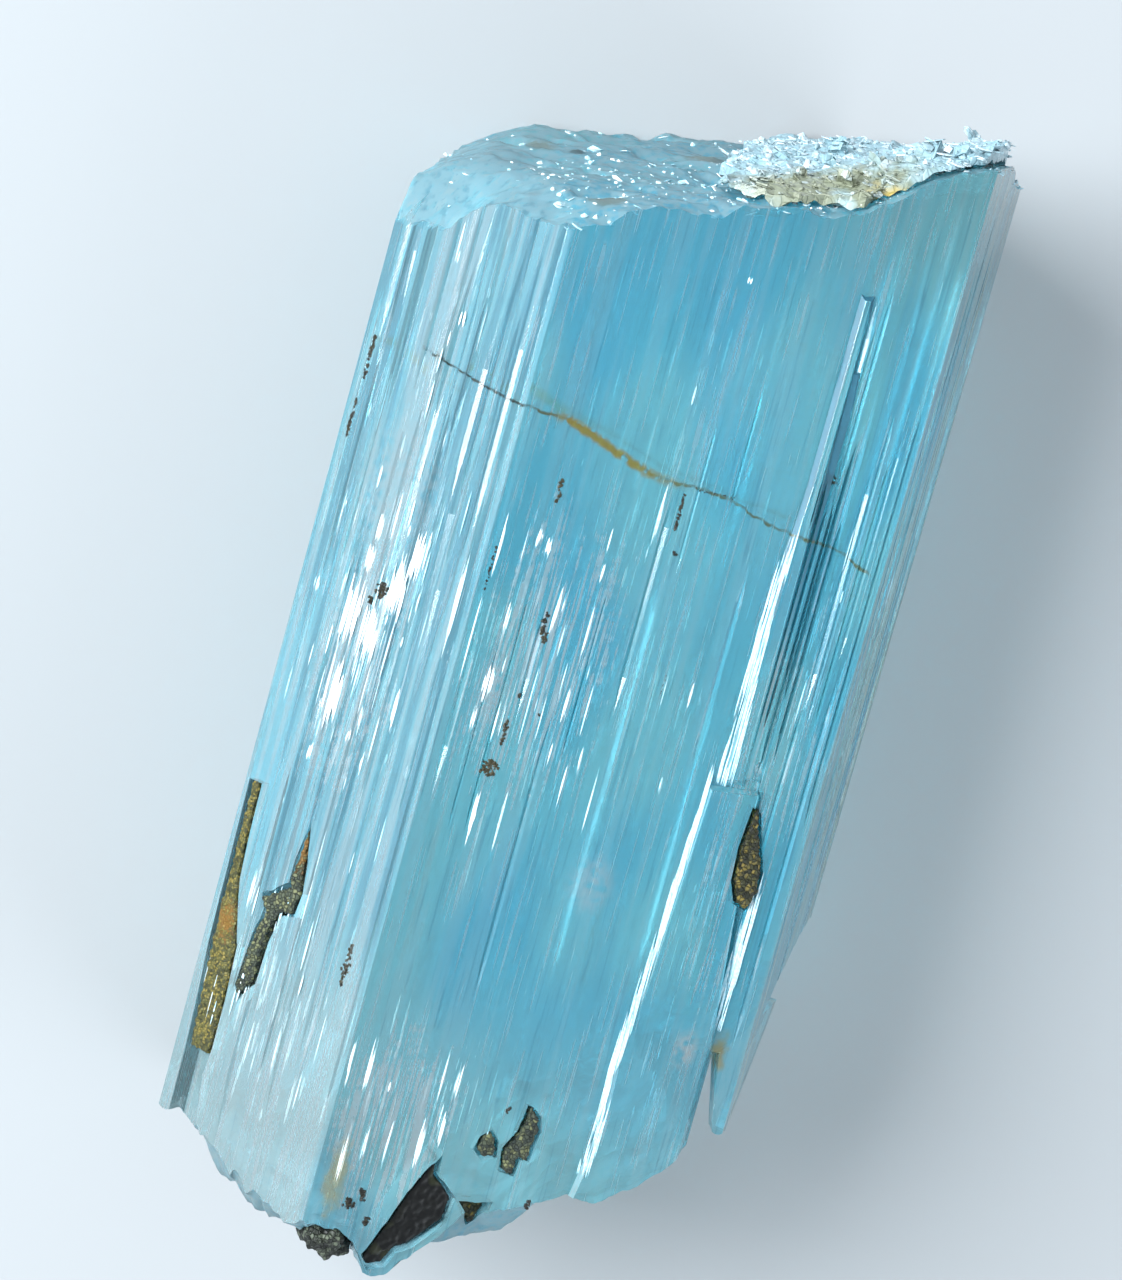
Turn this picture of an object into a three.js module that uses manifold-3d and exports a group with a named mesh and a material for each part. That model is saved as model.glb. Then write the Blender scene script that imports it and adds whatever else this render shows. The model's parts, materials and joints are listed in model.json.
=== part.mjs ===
// Aquamarine crystal: a six-sided beryl prism, striated along its length, with an etched,
// crusted termination, a broken base and small foreign minerals seated in its faces.
//
// Millimetres, +Z up. The crystal lies on its back prism face at z = 0. X runs across it,
// Y along its length to the termination. The origin is the middle of the underside. The sizes
// below are measured before the group's shift along Y, which centres the whole length.

import * as THREE from 'three';
import { mergeVertices } from 'three/addons/utils/BufferGeometryUtils.js';
import { ConvexGeometry } from 'three/addons/geometries/ConvexGeometry.js';
import Module from 'manifold-3d';

const wasm = await Module();
wasm.setup();

// Driving dimensions of the prism.
const FRONT_FACE = 18.8; // width of the front and back faces
const SIDE_FACE = 10.7; // width of each of the four slanted faces
const SIXTY = Math.PI / 3;
const DEPTH = 2 * SIDE_FACE * Math.sin(SIXTY); // back face to front face
const WIDTH = FRONT_FACE + SIDE_FACE; // left edge to right edge
const HALF_FRONT = FRONT_FACE / 2;
const HALF_WIDTH = WIDTH / 2;
const MID_DEPTH = DEPTH / 2;
const END = 30; // the uncut prism reaches this far each way along Y
const CENTRING = -0.5; // shift along Y that puts the origin at the middle of the length

// Clearance between a foreign mineral and the beryl around it.
const GAP = 0.3;

// Termination: a plane sloping up to the right, rounded off along the left side.
const TOP_BACK = 25.15; // height at the middle of the back edge
const TOP_FORWARD_FALL = 1.3; // how much lower the front edge is
const TOP_SLOPE_BACK = 0.145; // rise per millimetre to the right, at the back
const TOP_SLOPE_GAIN = 0.1; // what is added to it at the front
const TOP_CORNER_RISE = 1.5; // raised terrace at the front right corner
const TOP_CELL = 1.0; // size of the etched facets
const TERRACE = { height: 0.35, steps: 3, across: 3.1, deep: 1.9 };
const PIT = { depth: 0.55, across: 1.3, deep: 1.1, rarity: 0.68 };
const TOP_GRAIN = 0.16; // the finest relief

// How far the termination is rounded off along three of its edges, and how far in that reaches.
const LEFT_RIM = { drop: 1.0, lowerDrop: 2.3, below: 14.5, over: 3.5, reach: 3.2 };
const LOWER_LEFT_RIM = { drop: 1.5, reach: 4.0 };
const BACK_RIM = { drop: 0.7, over: 8, reach: 3.0 };

// Base: the broken edge as seen on the front and slanted faces, from left to right.
const BASE_EDGE = [
  [-14.8, -24.7], [-14.2, -25.3], [-13.6, -24.5], [-12.5, -25.1], [-11.0, -26.0], [-9.4, -26.2],
  [-8.4, -26.5], [-7.7, -26.0], [-7.0, -26.3], [-6.2, -28.0], [-5.5, -28.3], [-4.9, -28.2],
  [-4.0, -27.0], [-3.2, -26.3], [-2.6, -24.9], [-1.0, -24.2], [1.3, -23.5], [2.6, -22.8],
  [4.0, -22.85], [5.9, -21.6], [6.9, -21.0], [7.5, -19.8], [8.4, -18.4], [14.8, -15.0],
];
const BASE_CELL = 1.0;
const BASE_RISE = 0.11; // how much the break rises per millimetre towards the back
const LEDGE_DROP = 1.1; // step down just behind the left part of the broken edge
const BEVEL_DROP = 1.9; // broken bevel under the middle of the front edge
const BASE_STEP = 1.3; // height of the break's steps, away from its edge
const BASE_HACKLE = 0.5; // height of its fine roughness

// Right corner of the base: broken away higher up, except for one hanging splinter.
const SLOT_X = 7.8;
const SLOT_TOP = -14.7;
const RIGHT_BREAK_END = -9.6; // height of the break at the right edge
const SPLINTER_TIP = -18.6;
const SPLINTER_ROOT_SECTION = [[7.9, 19.4], [10.4, 19.4], [13.2, 13.6], [11.6, 12.4], [7.9, 17.0]];
const SPLINTER_TIP_SECTION = [[8.75, 19.2], [9.6, 19.0], [9.9, 17.9], [9.0, 17.6]];

// Raised growth layers on the front face.
const LAYER = 0.3; // height of a layer
const LAYER_FLANK = 0.22; // width of its sloping edge
const UPPER_LAYER = [[4.6, 21.0], [4.6, 12.0], [4.35, 6.0], [4.6, -2.2], [5.6, -2.2], [5.45, 12.0], [5.25, 21.0]];
const UPPER_STEP = [[4.9, 17.5], [4.8, 2.0], [4.9, -1.9], [6.35, -1.9], [6.2, 10.0], [5.6, 17.5]];
const LOWER_LAYER = [[3.9, -2.5], [3.55, -11.3], [3.2, -16.0], [3.3, -19.5], [2.6, -24], [7.6, -24], [7.65, -12.0],
  [6.6, -2.3]];

// Dark grooves beside the raised layer: place across the front face, lower end, upper end.
const RIDGE_GROOVES = [[5.15, 9, 21.4], [5.45, -1.5, 13], [5.75, 0, 16.5], [6.1, -1.8, 12], [6.4, 2, 14.5],
  [6.75, -1, 11]];
const RIDGE_GROOVE_WIDTH = 0.26;

// Seam from the chip to the slot, and the chip at its head.
const SEAM = { x: 7.05, y: -8.3, width: 0.4, halfLength: 7.2, depth: 0.75, turn: 0.1 };
const CHIP = { x: 6.35, y: -1.45, size: 0.75, turn: 0.7 };

// Groove along the left edge. Distances across are from the left edge along the left face.
const GROOVE = [[0.4, -8.4], [0.95, -8.4], [1.0, -10.8], [1.15, -13.0], [1.6, -14.6], [2.1, -16.0], [2.25, -18.5],
  [2.25, -21.0], [2.1, -22.3], [2.3, -23.5], [2.8, -26.5], [0.9, -26.5], [0.85, -21.0], [0.72, -18.5],
  [0.55, -16.5], [0.45, -11.0]];
const GROOVE_DEPTH = 1.0;
const GROOVE_FILL_END = -21.2;

// Foreign minerals in the faces: outline, depth of the pocket.
const BLACK_POCKET = [[-3.8, -22.0], [-3.7, -23.1], [-3.2, -23.45], [-2.65, -24.0], [-2.8, -25.1], [-3.5, -25.9],
  [-4.05, -26.5], [-4.75, -26.9], [-5.05, -27.6], [-5.8, -27.85], [-6.1, -27.4], [-5.3, -25.6], [-4.75, -24.1],
  [-4.1, -22.75]];
const BLACK_DEPTH = 3.2;
const LOZENGE = [[6.4, -3.1], [6.75, -3.4], [7.05, -4.4], [7.6, -6.0], [7.65, -7.0], [7.35, -7.85], [6.75, -7.6],
  [6.35, -6.6], [6.25, -5.0]];
const LONG_PATCH = [[-0.2, -19.0], [0.35, -19.5], [0.55, -20.2], [0.35, -21.5], [-0.1, -21.5], [-0.15, -22.3],
  [-0.75, -22.2], [-0.85, -21.2], [-0.35, -20.3]];
const SMALL_PATCH = [[-1.7, -20.5], [-1.35, -20.9], [-1.25, -21.6], [-1.75, -21.8], [-2.2, -21.4], [-2.05, -20.8]];
const FORKED_PATCH = [[4.75, -9.1], [5.05, -10.9], [5.25, -12.3], [5.1, -13.4], [4.5, -13.5], [4.1, -14.1],
  [3.85, -15.1], [3.75, -17.2], [3.1, -18.1], [2.8, -17.7], [3.05, -15.0], [3.4, -13.8], [3.0, -13.2],
  [3.9, -12.6], [4.5, -12.2], [4.55, -10.9]];
const PATCH_DEPTH = 0.75;
const BASE_TRIANGLE = [[-2.2, -24.1], [-0.8, -24.0], [-1.25, -25.3]];
const TRIANGLE_DEPTH = 2.2;

// Grains of the dark cluster under the front left corner: place and size.
const CLUSTER = [[-8.3, -27.0, 17.6, 0.62], [-7.6, -26.9, 17.9, 0.6], [-7.1, -27.3, 17.4, 0.58],
  [-7.7, -27.5, 17.3, 0.6], [-8.3, -27.1, 16.7, 0.6], [-7.2, -26.9, 16.8, 0.62], [-7.6, -27.6, 16.4, 0.55]];
const CLUSTER_SEED = 61;

// Crust on the right of the termination, seen along the length.
const CRUST_OUTLINE = [[-1.5, 15.4], [-0.4, 16.4], [-0.7, 17.4], [0.6, 18.1], [1.9, 17.8], [3.6, 18.45], [4.6, 17.6],
  [5.5, 18.1], [7.2, 18.45], [9.0, 17.9], [10.6, 15.6], [12.2, 12.6], [12.9, 9.6], [11.6, 6.2], [9.3, 1.6], [8.6, 0.4],
  [5.2, 0.4], [4.3, 2.2], [2.8, 3.2], [2.2, 5.6], [0.8, 6.8], [0.9, 8.8], [-0.6, 10.4], [-0.3, 12.6], [-1.6, 13.4]];
const CRUST_LEFT = [[0, 5.2], [12, -1.2], [DEPTH, -1.4]]; // left limit of the crust against height above the back
const CRUST_THICKNESS = 0.95;
const CRUST_CELL = 1.2;
const CRUST_CORNER = 0.35; // extra thickness at the front right corner

// Flakes standing up from the crust: place, length, width, lean, turn and height above the crystal.
const FLAKES = [
  [9.3, 16.0, 1.3, 0.7, 0.4, 0.4, 0.75], [8.0, 17.2, 1.0, 0.6, -0.4, 1.1, 0.7], [10.3, 13.4, 1.2, 0.7, 0.6, 2.0, 0.9],
  [6.9, 16.4, 1.0, 0.4, 1.2, 0.3, 0.8], [5.3, 15.2, 1.1, 0.7, 0.5, 2.6, 0.8], [3.4, 16.2, 1.0, 0.6, -0.5, 0.8, 0.7],
  [1.7, 14.8, 0.9, 0.5, 0.5, 1.9, 0.55], [4.4, 11.6, 1.1, 0.7, -0.4, 0.2, 0.7], [7.6, 11.0, 1.2, 0.7, 0.4, 1.4, 0.8],
  [2.9, 9.0, 0.9, 0.5, 0.4, 2.8, 0.5], [6.0, 7.4, 1.1, 0.7, -0.5, 0.9, 0.7], [9.4, 7.4, 1.2, 0.7, 0.5, 2.2, 0.8],
  [7.4, 3.2, 1.1, 0.6, -0.4, 1.7, 0.6],
];
const FLAKE_THICKNESS = 0.28;

// A repeatable source of numbers between 0 and 1.
function numbers(seed) {
  let state = seed;
  return () => {
    state = (state * 1664525 + 1013904223) % 4294967296;
    return state / 4294967296;
  };
}

// A number between 0 and 1 that belongs to one point of a lattice.
function latticeValue(i, j, seed) {
  const wave = Math.sin(i * 127.1 + j * 311.7 + seed * 74.7) * 43758.5453;
  return wave - Math.floor(wave);
}

// Smooth noise between 0 and 1 over a plane, with lumps about one unit wide.
function noise(u, v, seed) {
  const i = Math.floor(u);
  const j = Math.floor(v);
  const a = THREE.MathUtils.smoothstep(u - i, 0, 1);
  const b = THREE.MathUtils.smoothstep(v - j, 0, 1);
  const low = THREE.MathUtils.lerp(latticeValue(i, j, seed), latticeValue(i + 1, j, seed), a);
  const high = THREE.MathUtils.lerp(latticeValue(i, j + 1, seed), latticeValue(i + 1, j + 1, seed), a);
  return THREE.MathUtils.lerp(low, high, b);
}

// Reads a line given by points with rising first values.
function along(line, u) {
  const next = line.findIndex((point) => point[0] > u);
  if (next === 0) return line[0][1];
  if (next < 0) return line[line.length - 1][1];
  const [u0, v0] = line[next - 1];
  const [u1, v1] = line[next];
  return THREE.MathUtils.mapLinear(u, u0, u1, v0, v1);
}

// Turns a closed three.js geometry into a solid.
function solid(geometry) {
  geometry.deleteAttribute('normal');
  geometry.deleteAttribute('uv');
  const merged = mergeVertices(geometry, 1e-4);
  const vertProperties = new Float32Array(merged.attributes.position.array);
  const triVerts = new Uint32Array(merged.index.array);
  return new wasm.Manifold(new wasm.Mesh({ numProp: 3, vertProperties, triVerts }));
}

// Turns a solid into a named mesh with its material.
function mesh(name, body, material) {
  const { vertProperties, triVerts } = body.getMesh();
  const geometry = new THREE.BufferGeometry();
  geometry.setAttribute('position', new THREE.BufferAttribute(vertProperties, 3));
  geometry.setIndex(new THREE.BufferAttribute(triVerts, 1));
  geometry.computeVertexNormals();
  const result = new THREE.Mesh(geometry, material);
  result.name = name;
  return result;
}

// The six prism faces: the corner that each starts from and its turn about Y.
const FACES = {
  front: { corner: [-HALF_FRONT, DEPTH], turn: 0 },
  right: { corner: [HALF_FRONT, DEPTH], turn: SIXTY },
  lowerRight: { corner: [HALF_WIDTH, MID_DEPTH], turn: 2 * SIXTY },
  back: { corner: [HALF_FRONT, 0], turn: 3 * SIXTY },
  lowerLeft: { corner: [-HALF_FRONT, 0], turn: 4 * SIXTY },
  left: { corner: [-HALF_WIDTH, MID_DEPTH], turn: 5 * SIXTY },
};

// Moves a geometry from a face's own frame, X across it, Y along it and Z outwards, to its place.
function onFace(geometry, face) {
  const { corner, turn } = FACES[face];
  geometry.rotateY(turn);
  geometry.translate(corner[0], 0, corner[1]);
  return geometry;
}

// A long bar with pointed ends, lying along Y with its middle on the face.
// Four sides cut a sharp groove, six sides a flat-bottomed one.
function bar(face, across, low, high, width, depth, sides) {
  const tip = Math.min(0.42 * (high - low), 6 * width);
  const geometry = new THREE.CapsuleGeometry(1, (high - low) / tip - 2, 1, sides);
  geometry.scale(width / 2, tip, depth);
  geometry.translate(across, (low + high) / 2, 0);
  return solid(onFace(geometry, face));
}

// A plate of the given outline on a face, from one level to a higher one.
function plate(face, outline, low, high, flank = 0) {
  const shape = new THREE.Shape(outline.map(([u, v]) => new THREE.Vector2(u, v)));
  const geometry = new THREE.ExtrudeGeometry(shape, {
    depth: high - low - flank,
    bevelEnabled: flank > 0,
    bevelThickness: flank,
    bevelSize: flank,
    bevelOffset: -flank,
    bevelSegments: 1,
  });
  geometry.translate(0, 0, low);
  return solid(onFace(geometry, face));
}

// Front-face outlines are given from the middle of the face. This measures them from its corner.
function fromCorner(outline) {
  return outline.map(([x, y]) => [x + HALF_FRONT, y]);
}

// Shrinks an outline by the same distance all round.
function inset(outline, distance) {
  const clockwise = THREE.ShapeUtils.isClockWise(outline.map(([u, v]) => new THREE.Vector2(u, v)));
  const side = clockwise ? -1 : 1;
  return outline.map(([u, v], i) => {
    const [u0, v0] = outline[(i + outline.length - 1) % outline.length];
    const [u1, v1] = outline[(i + 1) % outline.length];
    const into = new THREE.Vector2(v0 - v1, u1 - u0).normalize().multiplyScalar(side * distance);
    return [u + into.x, v + into.y];
  });
}

// A block that fills the space past a rough end: its near side follows heightAt, its far side is flat.
function endBlock(heightAt, far, cell, seed) {
  const across = WIDTH + 4;
  const deep = DEPTH + 4;
  const columns = Math.round(across / cell);
  const rows = Math.round(deep / cell);
  const geometry = new THREE.BoxGeometry(across, 2, deep, columns, 1, rows);
  geometry.translate(0, 0, MID_DEPTH);
  const position = geometry.attributes.position;
  for (let i = 0; i < position.count; i += 1) {
    const x = position.getX(i) + cell * 0.55 * (latticeValue(position.getX(i), position.getZ(i), seed) - 0.5);
    const z = position.getZ(i) + cell * 0.55 * (latticeValue(position.getZ(i), position.getX(i), seed + 1) - 0.5);
    const near = position.getY(i) * far < 0;
    position.setXYZ(i, x, near ? heightAt(x, z) : far, z);
  }
  return solid(geometry);
}

// Distance of a point inward from a slanted or back face.
function inward(face, x, z) {
  const { corner, turn } = FACES[face];
  return -((x - corner[0]) * Math.sin(turn) + (z - corner[1]) * Math.cos(turn));
}

// A rounding that lowers the termination near one face.
function rimDrop(face, x, z, drop, reach) {
  const left = THREE.MathUtils.clamp(1 - inward(face, x, z) / reach, 0, 1.1);
  return drop * left * left;
}

// The termination without its fine relief.
function topPlane(x, z) {
  const forward = z / DEPTH;
  const plane = TOP_BACK - TOP_FORWARD_FALL * forward + (TOP_SLOPE_BACK + TOP_SLOPE_GAIN * forward) * x;
  const corner = TOP_CORNER_RISE * THREE.MathUtils.smoothstep(x, 3.6, 8) * THREE.MathUtils.smoothstep(z, 9, 15);
  const leftDrop = LEFT_RIM.drop
    + LEFT_RIM.lowerDrop * THREE.MathUtils.smoothstep(LEFT_RIM.below - z, 0, LEFT_RIM.over);
  const backDrop = BACK_RIM.drop * THREE.MathUtils.smoothstep(-x, 0, BACK_RIM.over);
  const drop = Math.max(
    rimDrop('left', x, z, leftDrop, LEFT_RIM.reach),
    rimDrop('lowerLeft', x, z, LOWER_LEFT_RIM.drop, LOWER_LEFT_RIM.reach),
    rimDrop('back', x, z, backDrop, BACK_RIM.reach),
  );
  return plane + corner - drop;
}

// The termination with etched terraces and pits.
function topHeight(x, z) {
  const terraces = Math.round(TERRACE.steps * noise(x / TERRACE.across, z / TERRACE.deep, 3)) / TERRACE.steps;
  const pits = THREE.MathUtils.smoothstep(noise(x / PIT.across, z / PIT.deep, 5), PIT.rarity, 0.9);
  const etched = THREE.MathUtils.smoothstep(x, -12, -7);
  const relief = etched * (TERRACE.height * (terraces - 0.5) - PIT.depth * pits);
  return topPlane(x, z) + relief + TOP_GRAIN * (noise(x, z, 8) - 0.5);
}

// The front outline of the section, as a height above the back face.
function frontOutline(x) {
  return Math.min(DEPTH, MID_DEPTH + (HALF_WIDTH - Math.abs(x)) * Math.tan(SIXTY));
}

// The broken base: the edge line on the front, with ledges and hackly steps behind it.
function baseHeight(x, z) {
  const back = frontOutline(x) - z;
  const ledge = LEDGE_DROP * THREE.MathUtils.smoothstep(back, 0.2, 1.3) * THREE.MathUtils.smoothstep(-x, 7.2, 9.6)
    * THREE.MathUtils.smoothstep(-x, -20, -13.6);
  const underLeft = ledge * (1 - THREE.MathUtils.smoothstep(-x, 12.2, 13.6));
  const middle = THREE.MathUtils.smoothstep(x, -3.6, -2.4) * (1 - THREE.MathUtils.smoothstep(x, 1.2, 2.4));
  const bevel = BEVEL_DROP * middle * THREE.MathUtils.smoothstep(back, 0, 1.9);
  const inside = THREE.MathUtils.smoothstep(back, 0.6, 3);
  const steps = Math.round(4 * noise(x / 2.6, z / 2.2, 12)) / 4 - 0.5;
  const hackle = noise(x / 1.1, z / 1.1, 15) - 0.5;
  return along(BASE_EDGE, x) - underLeft - bevel + BASE_RISE * back + inside * (BASE_STEP * steps + BASE_HACKLE * hackle);
}

// The break at the right corner.
function rightBreakHeight(x, z) {
  const across = THREE.MathUtils.smoothstep(x, SLOT_X, HALF_WIDTH);
  const back = frontOutline(x) - z;
  const steps = Math.round(3 * noise(x / 2.3, z / 2.0, 21)) / 3 - 0.5;
  return THREE.MathUtils.lerp(SLOT_TOP - 0.2, RIGHT_BREAK_END, across) - 0.12 * back + 0.7 * steps
    * THREE.MathUtils.smoothstep(back, 0.3, 2);
}

// The splinter left hanging from the right corner, as a tapered hull.
function splinter() {
  const points = [
    ...SPLINTER_ROOT_SECTION.map(([x, z]) => new THREE.Vector3(x, SLOT_TOP + 1.6, z)),
    ...SPLINTER_TIP_SECTION.map(([x, z], i) => new THREE.Vector3(x, SPLINTER_TIP + 0.12 * (i % 2), z)),
  ];
  return solid(new ConvexGeometry(points));
}

// Lengthwise grooves scattered over a face between two distances across it.
function striations(face, count, from, to, seed, options) {
  const next = numbers(seed);
  const { width, depth, length, lowest, highest } = options;
  return Array.from({ length: count }, (_, i) => {
    const across = from + ((i + 0.15 + 0.7 * next()) / count) * (to - from);
    const long = THREE.MathUtils.lerp(length[0], length[1], next());
    const low = THREE.MathUtils.lerp(lowest, highest - long, next());
    const wide = THREE.MathUtils.lerp(width[0], width[1], next() ** 2);
    const deep = THREE.MathUtils.lerp(depth[0], depth[1], next());
    return bar(face, across, low, low + long, wide, deep, wide > 0.55 ? 6 : 4);
  });
}

// The prism between its two rough ends.
function cutPrism() {
  const corners = Object.values(FACES).map(({ corner }) => new THREE.Vector2(corner[0], corner[1]));
  const geometry = new THREE.ExtrudeGeometry(new THREE.Shape(corners), { depth: 2 * END, bevelEnabled: false });
  geometry.rotateX(Math.PI / 2);
  geometry.translate(0, END, 0);
  const prism = solid(geometry);
  const layers = [
    plate('front', fromCorner(UPPER_STEP), -0.5, LAYER / 2, 0.12),
    plate('front', fromCorner(UPPER_LAYER), -0.5, LAYER, LAYER_FLANK),
    plate('front', fromCorner(LOWER_LAYER), -0.5, LAYER, LAYER_FLANK),
  ];
  const striated = allStriations().reduce((body, cut) => body.subtract(cut), prism);
  const layered = layers.reduce((body, layer) => body.add(layer), striated);

  const pastSlot = new THREE.BoxGeometry(WIDTH, 2 * END, 2 * WIDTH);
  pastSlot.translate(SLOT_X + WIDTH / 2, 0, 0);
  const rightBreak = endBlock(rightBreakHeight, -2 * END, BASE_CELL, 4).intersect(solid(pastSlot));
  const base = endBlock(baseHeight, -2 * END, BASE_CELL, 2).add(rightBreak).subtract(splinter());
  const top = endBlock(topHeight, 2 * END, TOP_CELL, 1);
  return layered.subtract(top).subtract(base);
}

// Every groove that the faces carry.
function allStriations() {
  const whole = { lowest: -25, highest: 26 };
  const fine = { ...whole, width: [0.14, 0.4], depth: [0.06, 0.14], length: [9, 26] };
  const lamellae = { lowest: -26, highest: 27, width: [0.5, 1.2], depth: [0.1, 0.2], length: [14, 34] };
  const etched = { lowest: 6, highest: 22, width: [0.35, 0.9], depth: [0.1, 0.22], length: [8, 14] };
  return [
    ...striations('left', 9, 2.6, 10.3, 31, lamellae),
    ...striations('left', 24, 0.3, 10.5, 32, fine),
    ...striations('left', 9, 1.2, 10.2, 33, etched),
    ...striations('front', 14, 14.5, 18.6, 34, { ...fine, lowest: -18, length: [8, 20] }),
    ...striations('front', 6, 0.3, 5.4, 35, { ...fine, lowest: -22, highest: 8, length: [5, 14] }),
    ...striations('front', 5, 5.6, 13.2, 36, { ...fine, lowest: -16, highest: 20, length: [4, 12] }),
    ...striations('right', 15, 0.3, 10.4, 37, { ...fine, lowest: -14, width: [0.25, 0.8], length: [14, 32] }),
    ...striations('lowerRight', 12, 0.4, 10.3, 38, { ...fine, lowest: -13, width: [0.25, 0.9], length: [12, 30] }),
    ...striations('lowerLeft', 12, 0.4, 10.3, 39, { ...fine, width: [0.25, 1.0], length: [12, 34] }),
    ...striations('back', 6, 0.5, 6.4, 40, { ...fine, length: [8, 22] }),
    ...striations('back', 6, 12.4, 18.3, 41, { ...fine, length: [8, 22] }),
  ];
}

// The dark grooves that run beside the raised layer on the front face.
function ridgeGrooves() {
  return RIDGE_GROOVES.map(([x, low, high]) => (
    bar('front', x + HALF_FRONT, low, high, RIDGE_GROOVE_WIDTH, LAYER + 0.12, 4)
  ));
}

// The seam from the chip down to the slot.
function seam() {
  const geometry = new THREE.CapsuleGeometry(1, 4, 1, 4);
  geometry.scale(SEAM.width / 2, SEAM.halfLength / 3, SEAM.depth);
  geometry.rotateZ(SEAM.turn);
  geometry.translate(SEAM.x + HALF_FRONT, SEAM.y, LAYER / 2);
  return solid(onFace(geometry, 'front'));
}

// A small shell-shaped chip out of the front face.
function chip() {
  const geometry = new THREE.IcosahedronGeometry(CHIP.size, 1);
  geometry.scale(0.8, 1.1, 0.55);
  geometry.rotateZ(CHIP.turn);
  geometry.translate(CHIP.x + HALF_FRONT, CHIP.y, LAYER + 0.1);
  return solid(onFace(geometry, 'front'));
}

// A pocket in a face and what fills it, with the clearance shared on both sides of the outline.
function pocketed(face, outline, depth, surface) {
  return {
    pocket: plate(face, inset(outline, -GAP / 2), -depth, 1),
    filling: plate(face, inset(outline, GAP / 2), -depth + GAP, surface),
  };
}

// Lumps of one mineral, each a squashed and turned icosahedron, joined.
function lumps(places, grown, seed) {
  const next = numbers(seed);
  const pieces = places.map(([x, y, z, size]) => {
    const geometry = new THREE.IcosahedronGeometry(size + grown, 0);
    geometry.scale(0.8 + 0.4 * next(), 0.8 + 0.4 * next(), 0.7 + 0.4 * next());
    geometry.rotateX(3 * next());
    geometry.rotateZ(3 * next());
    geometry.translate(x, y, z);
    return solid(geometry);
  });
  return pieces.reduce((body, piece) => body.add(piece));
}

// Thin flakes that stand up from the crust.
function flakes(places) {
  return places.map(([x, z, long, wide, lean, turn, lift]) => {
    const geometry = new THREE.CylinderGeometry(wide, wide * 0.8, FLAKE_THICKNESS, 6);
    geometry.scale(long / wide, 1, 1);
    geometry.rotateZ(lean);
    geometry.rotateY(turn);
    geometry.translate(x, topPlane(x, z) + lift, z);
    return solid(geometry);
  });
}

// The flaky crust, grown over the right of the termination.
function crust() {
  const shape = new THREE.Shape(CRUST_OUTLINE.map(([x, z]) => new THREE.Vector2(x, z)));
  const geometry = new THREE.ExtrudeGeometry(shape, { depth: 2 * END, bevelEnabled: false });
  geometry.rotateX(Math.PI / 2);
  geometry.translate(0, 1.5 * END, 0);
  const roof = (x, z) => {
    const lump = noise(x / 1.4, z / 1.3, 51);
    const ragged = latticeValue(Math.round(x * 1.3), Math.round(z * 1.3), 52);
    const spread = THREE.MathUtils.smoothstep(x - along(CRUST_LEFT, z), -0.8, 5.5);
    const corner = THREE.MathUtils.smoothstep(x, 5, 9) * THREE.MathUtils.smoothstep(z, 11, 16);
    return topPlane(x, z) + GAP + 0.1 + (spread + CRUST_CORNER * corner) * CRUST_THICKNESS * (0.5 * lump + 0.4 * ragged);
  };
  const above = endBlock(roof, 2 * END, CRUST_CELL, 6);
  const layer = solid(geometry).subtract(above);
  const whole = flakes(FLAKES).reduce((body, flake) => body.add(flake), layer);
  const beneath = endBlock((x, z) => topHeight(x, z) + GAP, -2 * END, TOP_CELL, 1);
  return whole.subtract(beneath);
}

// The crystal and the minerals seated in it.
const groove = pocketed('left', GROOVE, GROOVE_DEPTH, -0.12);
const belowFill = new THREE.BoxGeometry(WIDTH * 2, END, WIDTH * 2);
belowFill.translate(0, GROOVE_FILL_END - END / 2, 0);
const grooveFilling = groove.filling.subtract(solid(belowFill));

const black = pocketed('front', fromCorner(BLACK_POCKET), BLACK_DEPTH, -0.35);
const lozenge = pocketed('front', fromCorner(LOZENGE), PATCH_DEPTH, LAYER - 0.1);
const longPatch = pocketed('front', fromCorner(LONG_PATCH), PATCH_DEPTH, -0.05);
const smallPatch = pocketed('front', fromCorner(SMALL_PATCH), PATCH_DEPTH, -0.05);
const forkedPatch = pocketed('left', FORKED_PATCH, PATCH_DEPTH, -0.05);
const triangle = pocketed('front', fromCorner(BASE_TRIANGLE), TRIANGLE_DEPTH, -0.9);

const cuts = [
  ...ridgeGrooves(), seam(), chip(), lumps(CLUSTER, 1.4 * GAP, CLUSTER_SEED),
  groove.pocket, black.pocket, lozenge.pocket, longPatch.pocket, smallPatch.pocket, forkedPatch.pocket, triangle.pocket,
];
const crystal = cuts.reduce((body, cut) => body.subtract(cut), cutPrism());

// Colours and finishes as the photograph shows them.
const beryl = new THREE.MeshStandardMaterial({ color: 0x8cc6d8, roughness: 0.15, metalness: 0 });
const mica = new THREE.MeshStandardMaterial({ color: 0xe6e2d2, roughness: 0.45, metalness: 0 });
const blackMineral = new THREE.MeshStandardMaterial({ color: 0x14140f, roughness: 0.35, metalness: 0 });
const darkGrains = new THREE.MeshStandardMaterial({ color: 0x33382f, roughness: 0.6, metalness: 0 });
const olive = new THREE.MeshStandardMaterial({ color: 0x7c7430, roughness: 0.7, metalness: 0 });
const greyOlive = new THREE.MeshStandardMaterial({ color: 0x5d6150, roughness: 0.7, metalness: 0 });

const specimen = new THREE.Group();
specimen.position.y = CENTRING;
specimen.add(
  mesh('aquamarine_crystal', crystal, beryl),
  mesh('mica_crust', crust(), mica),
  mesh('black_inclusion', black.filling, blackMineral),
  mesh('dark_grain_cluster', lumps(CLUSTER, 0, CLUSTER_SEED), darkGrains),
  mesh('groove_filling', grooveFilling, olive),
  mesh('olive_lozenge', lozenge.filling, olive),
  mesh('long_patch', longPatch.filling, greyOlive),
  mesh('small_patch', smallPatch.filling, greyOlive),
  mesh('forked_patch', forkedPatch.filling, greyOlive),
  mesh('base_triangle', triangle.filling, olive),
);

export default specimen;
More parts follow.
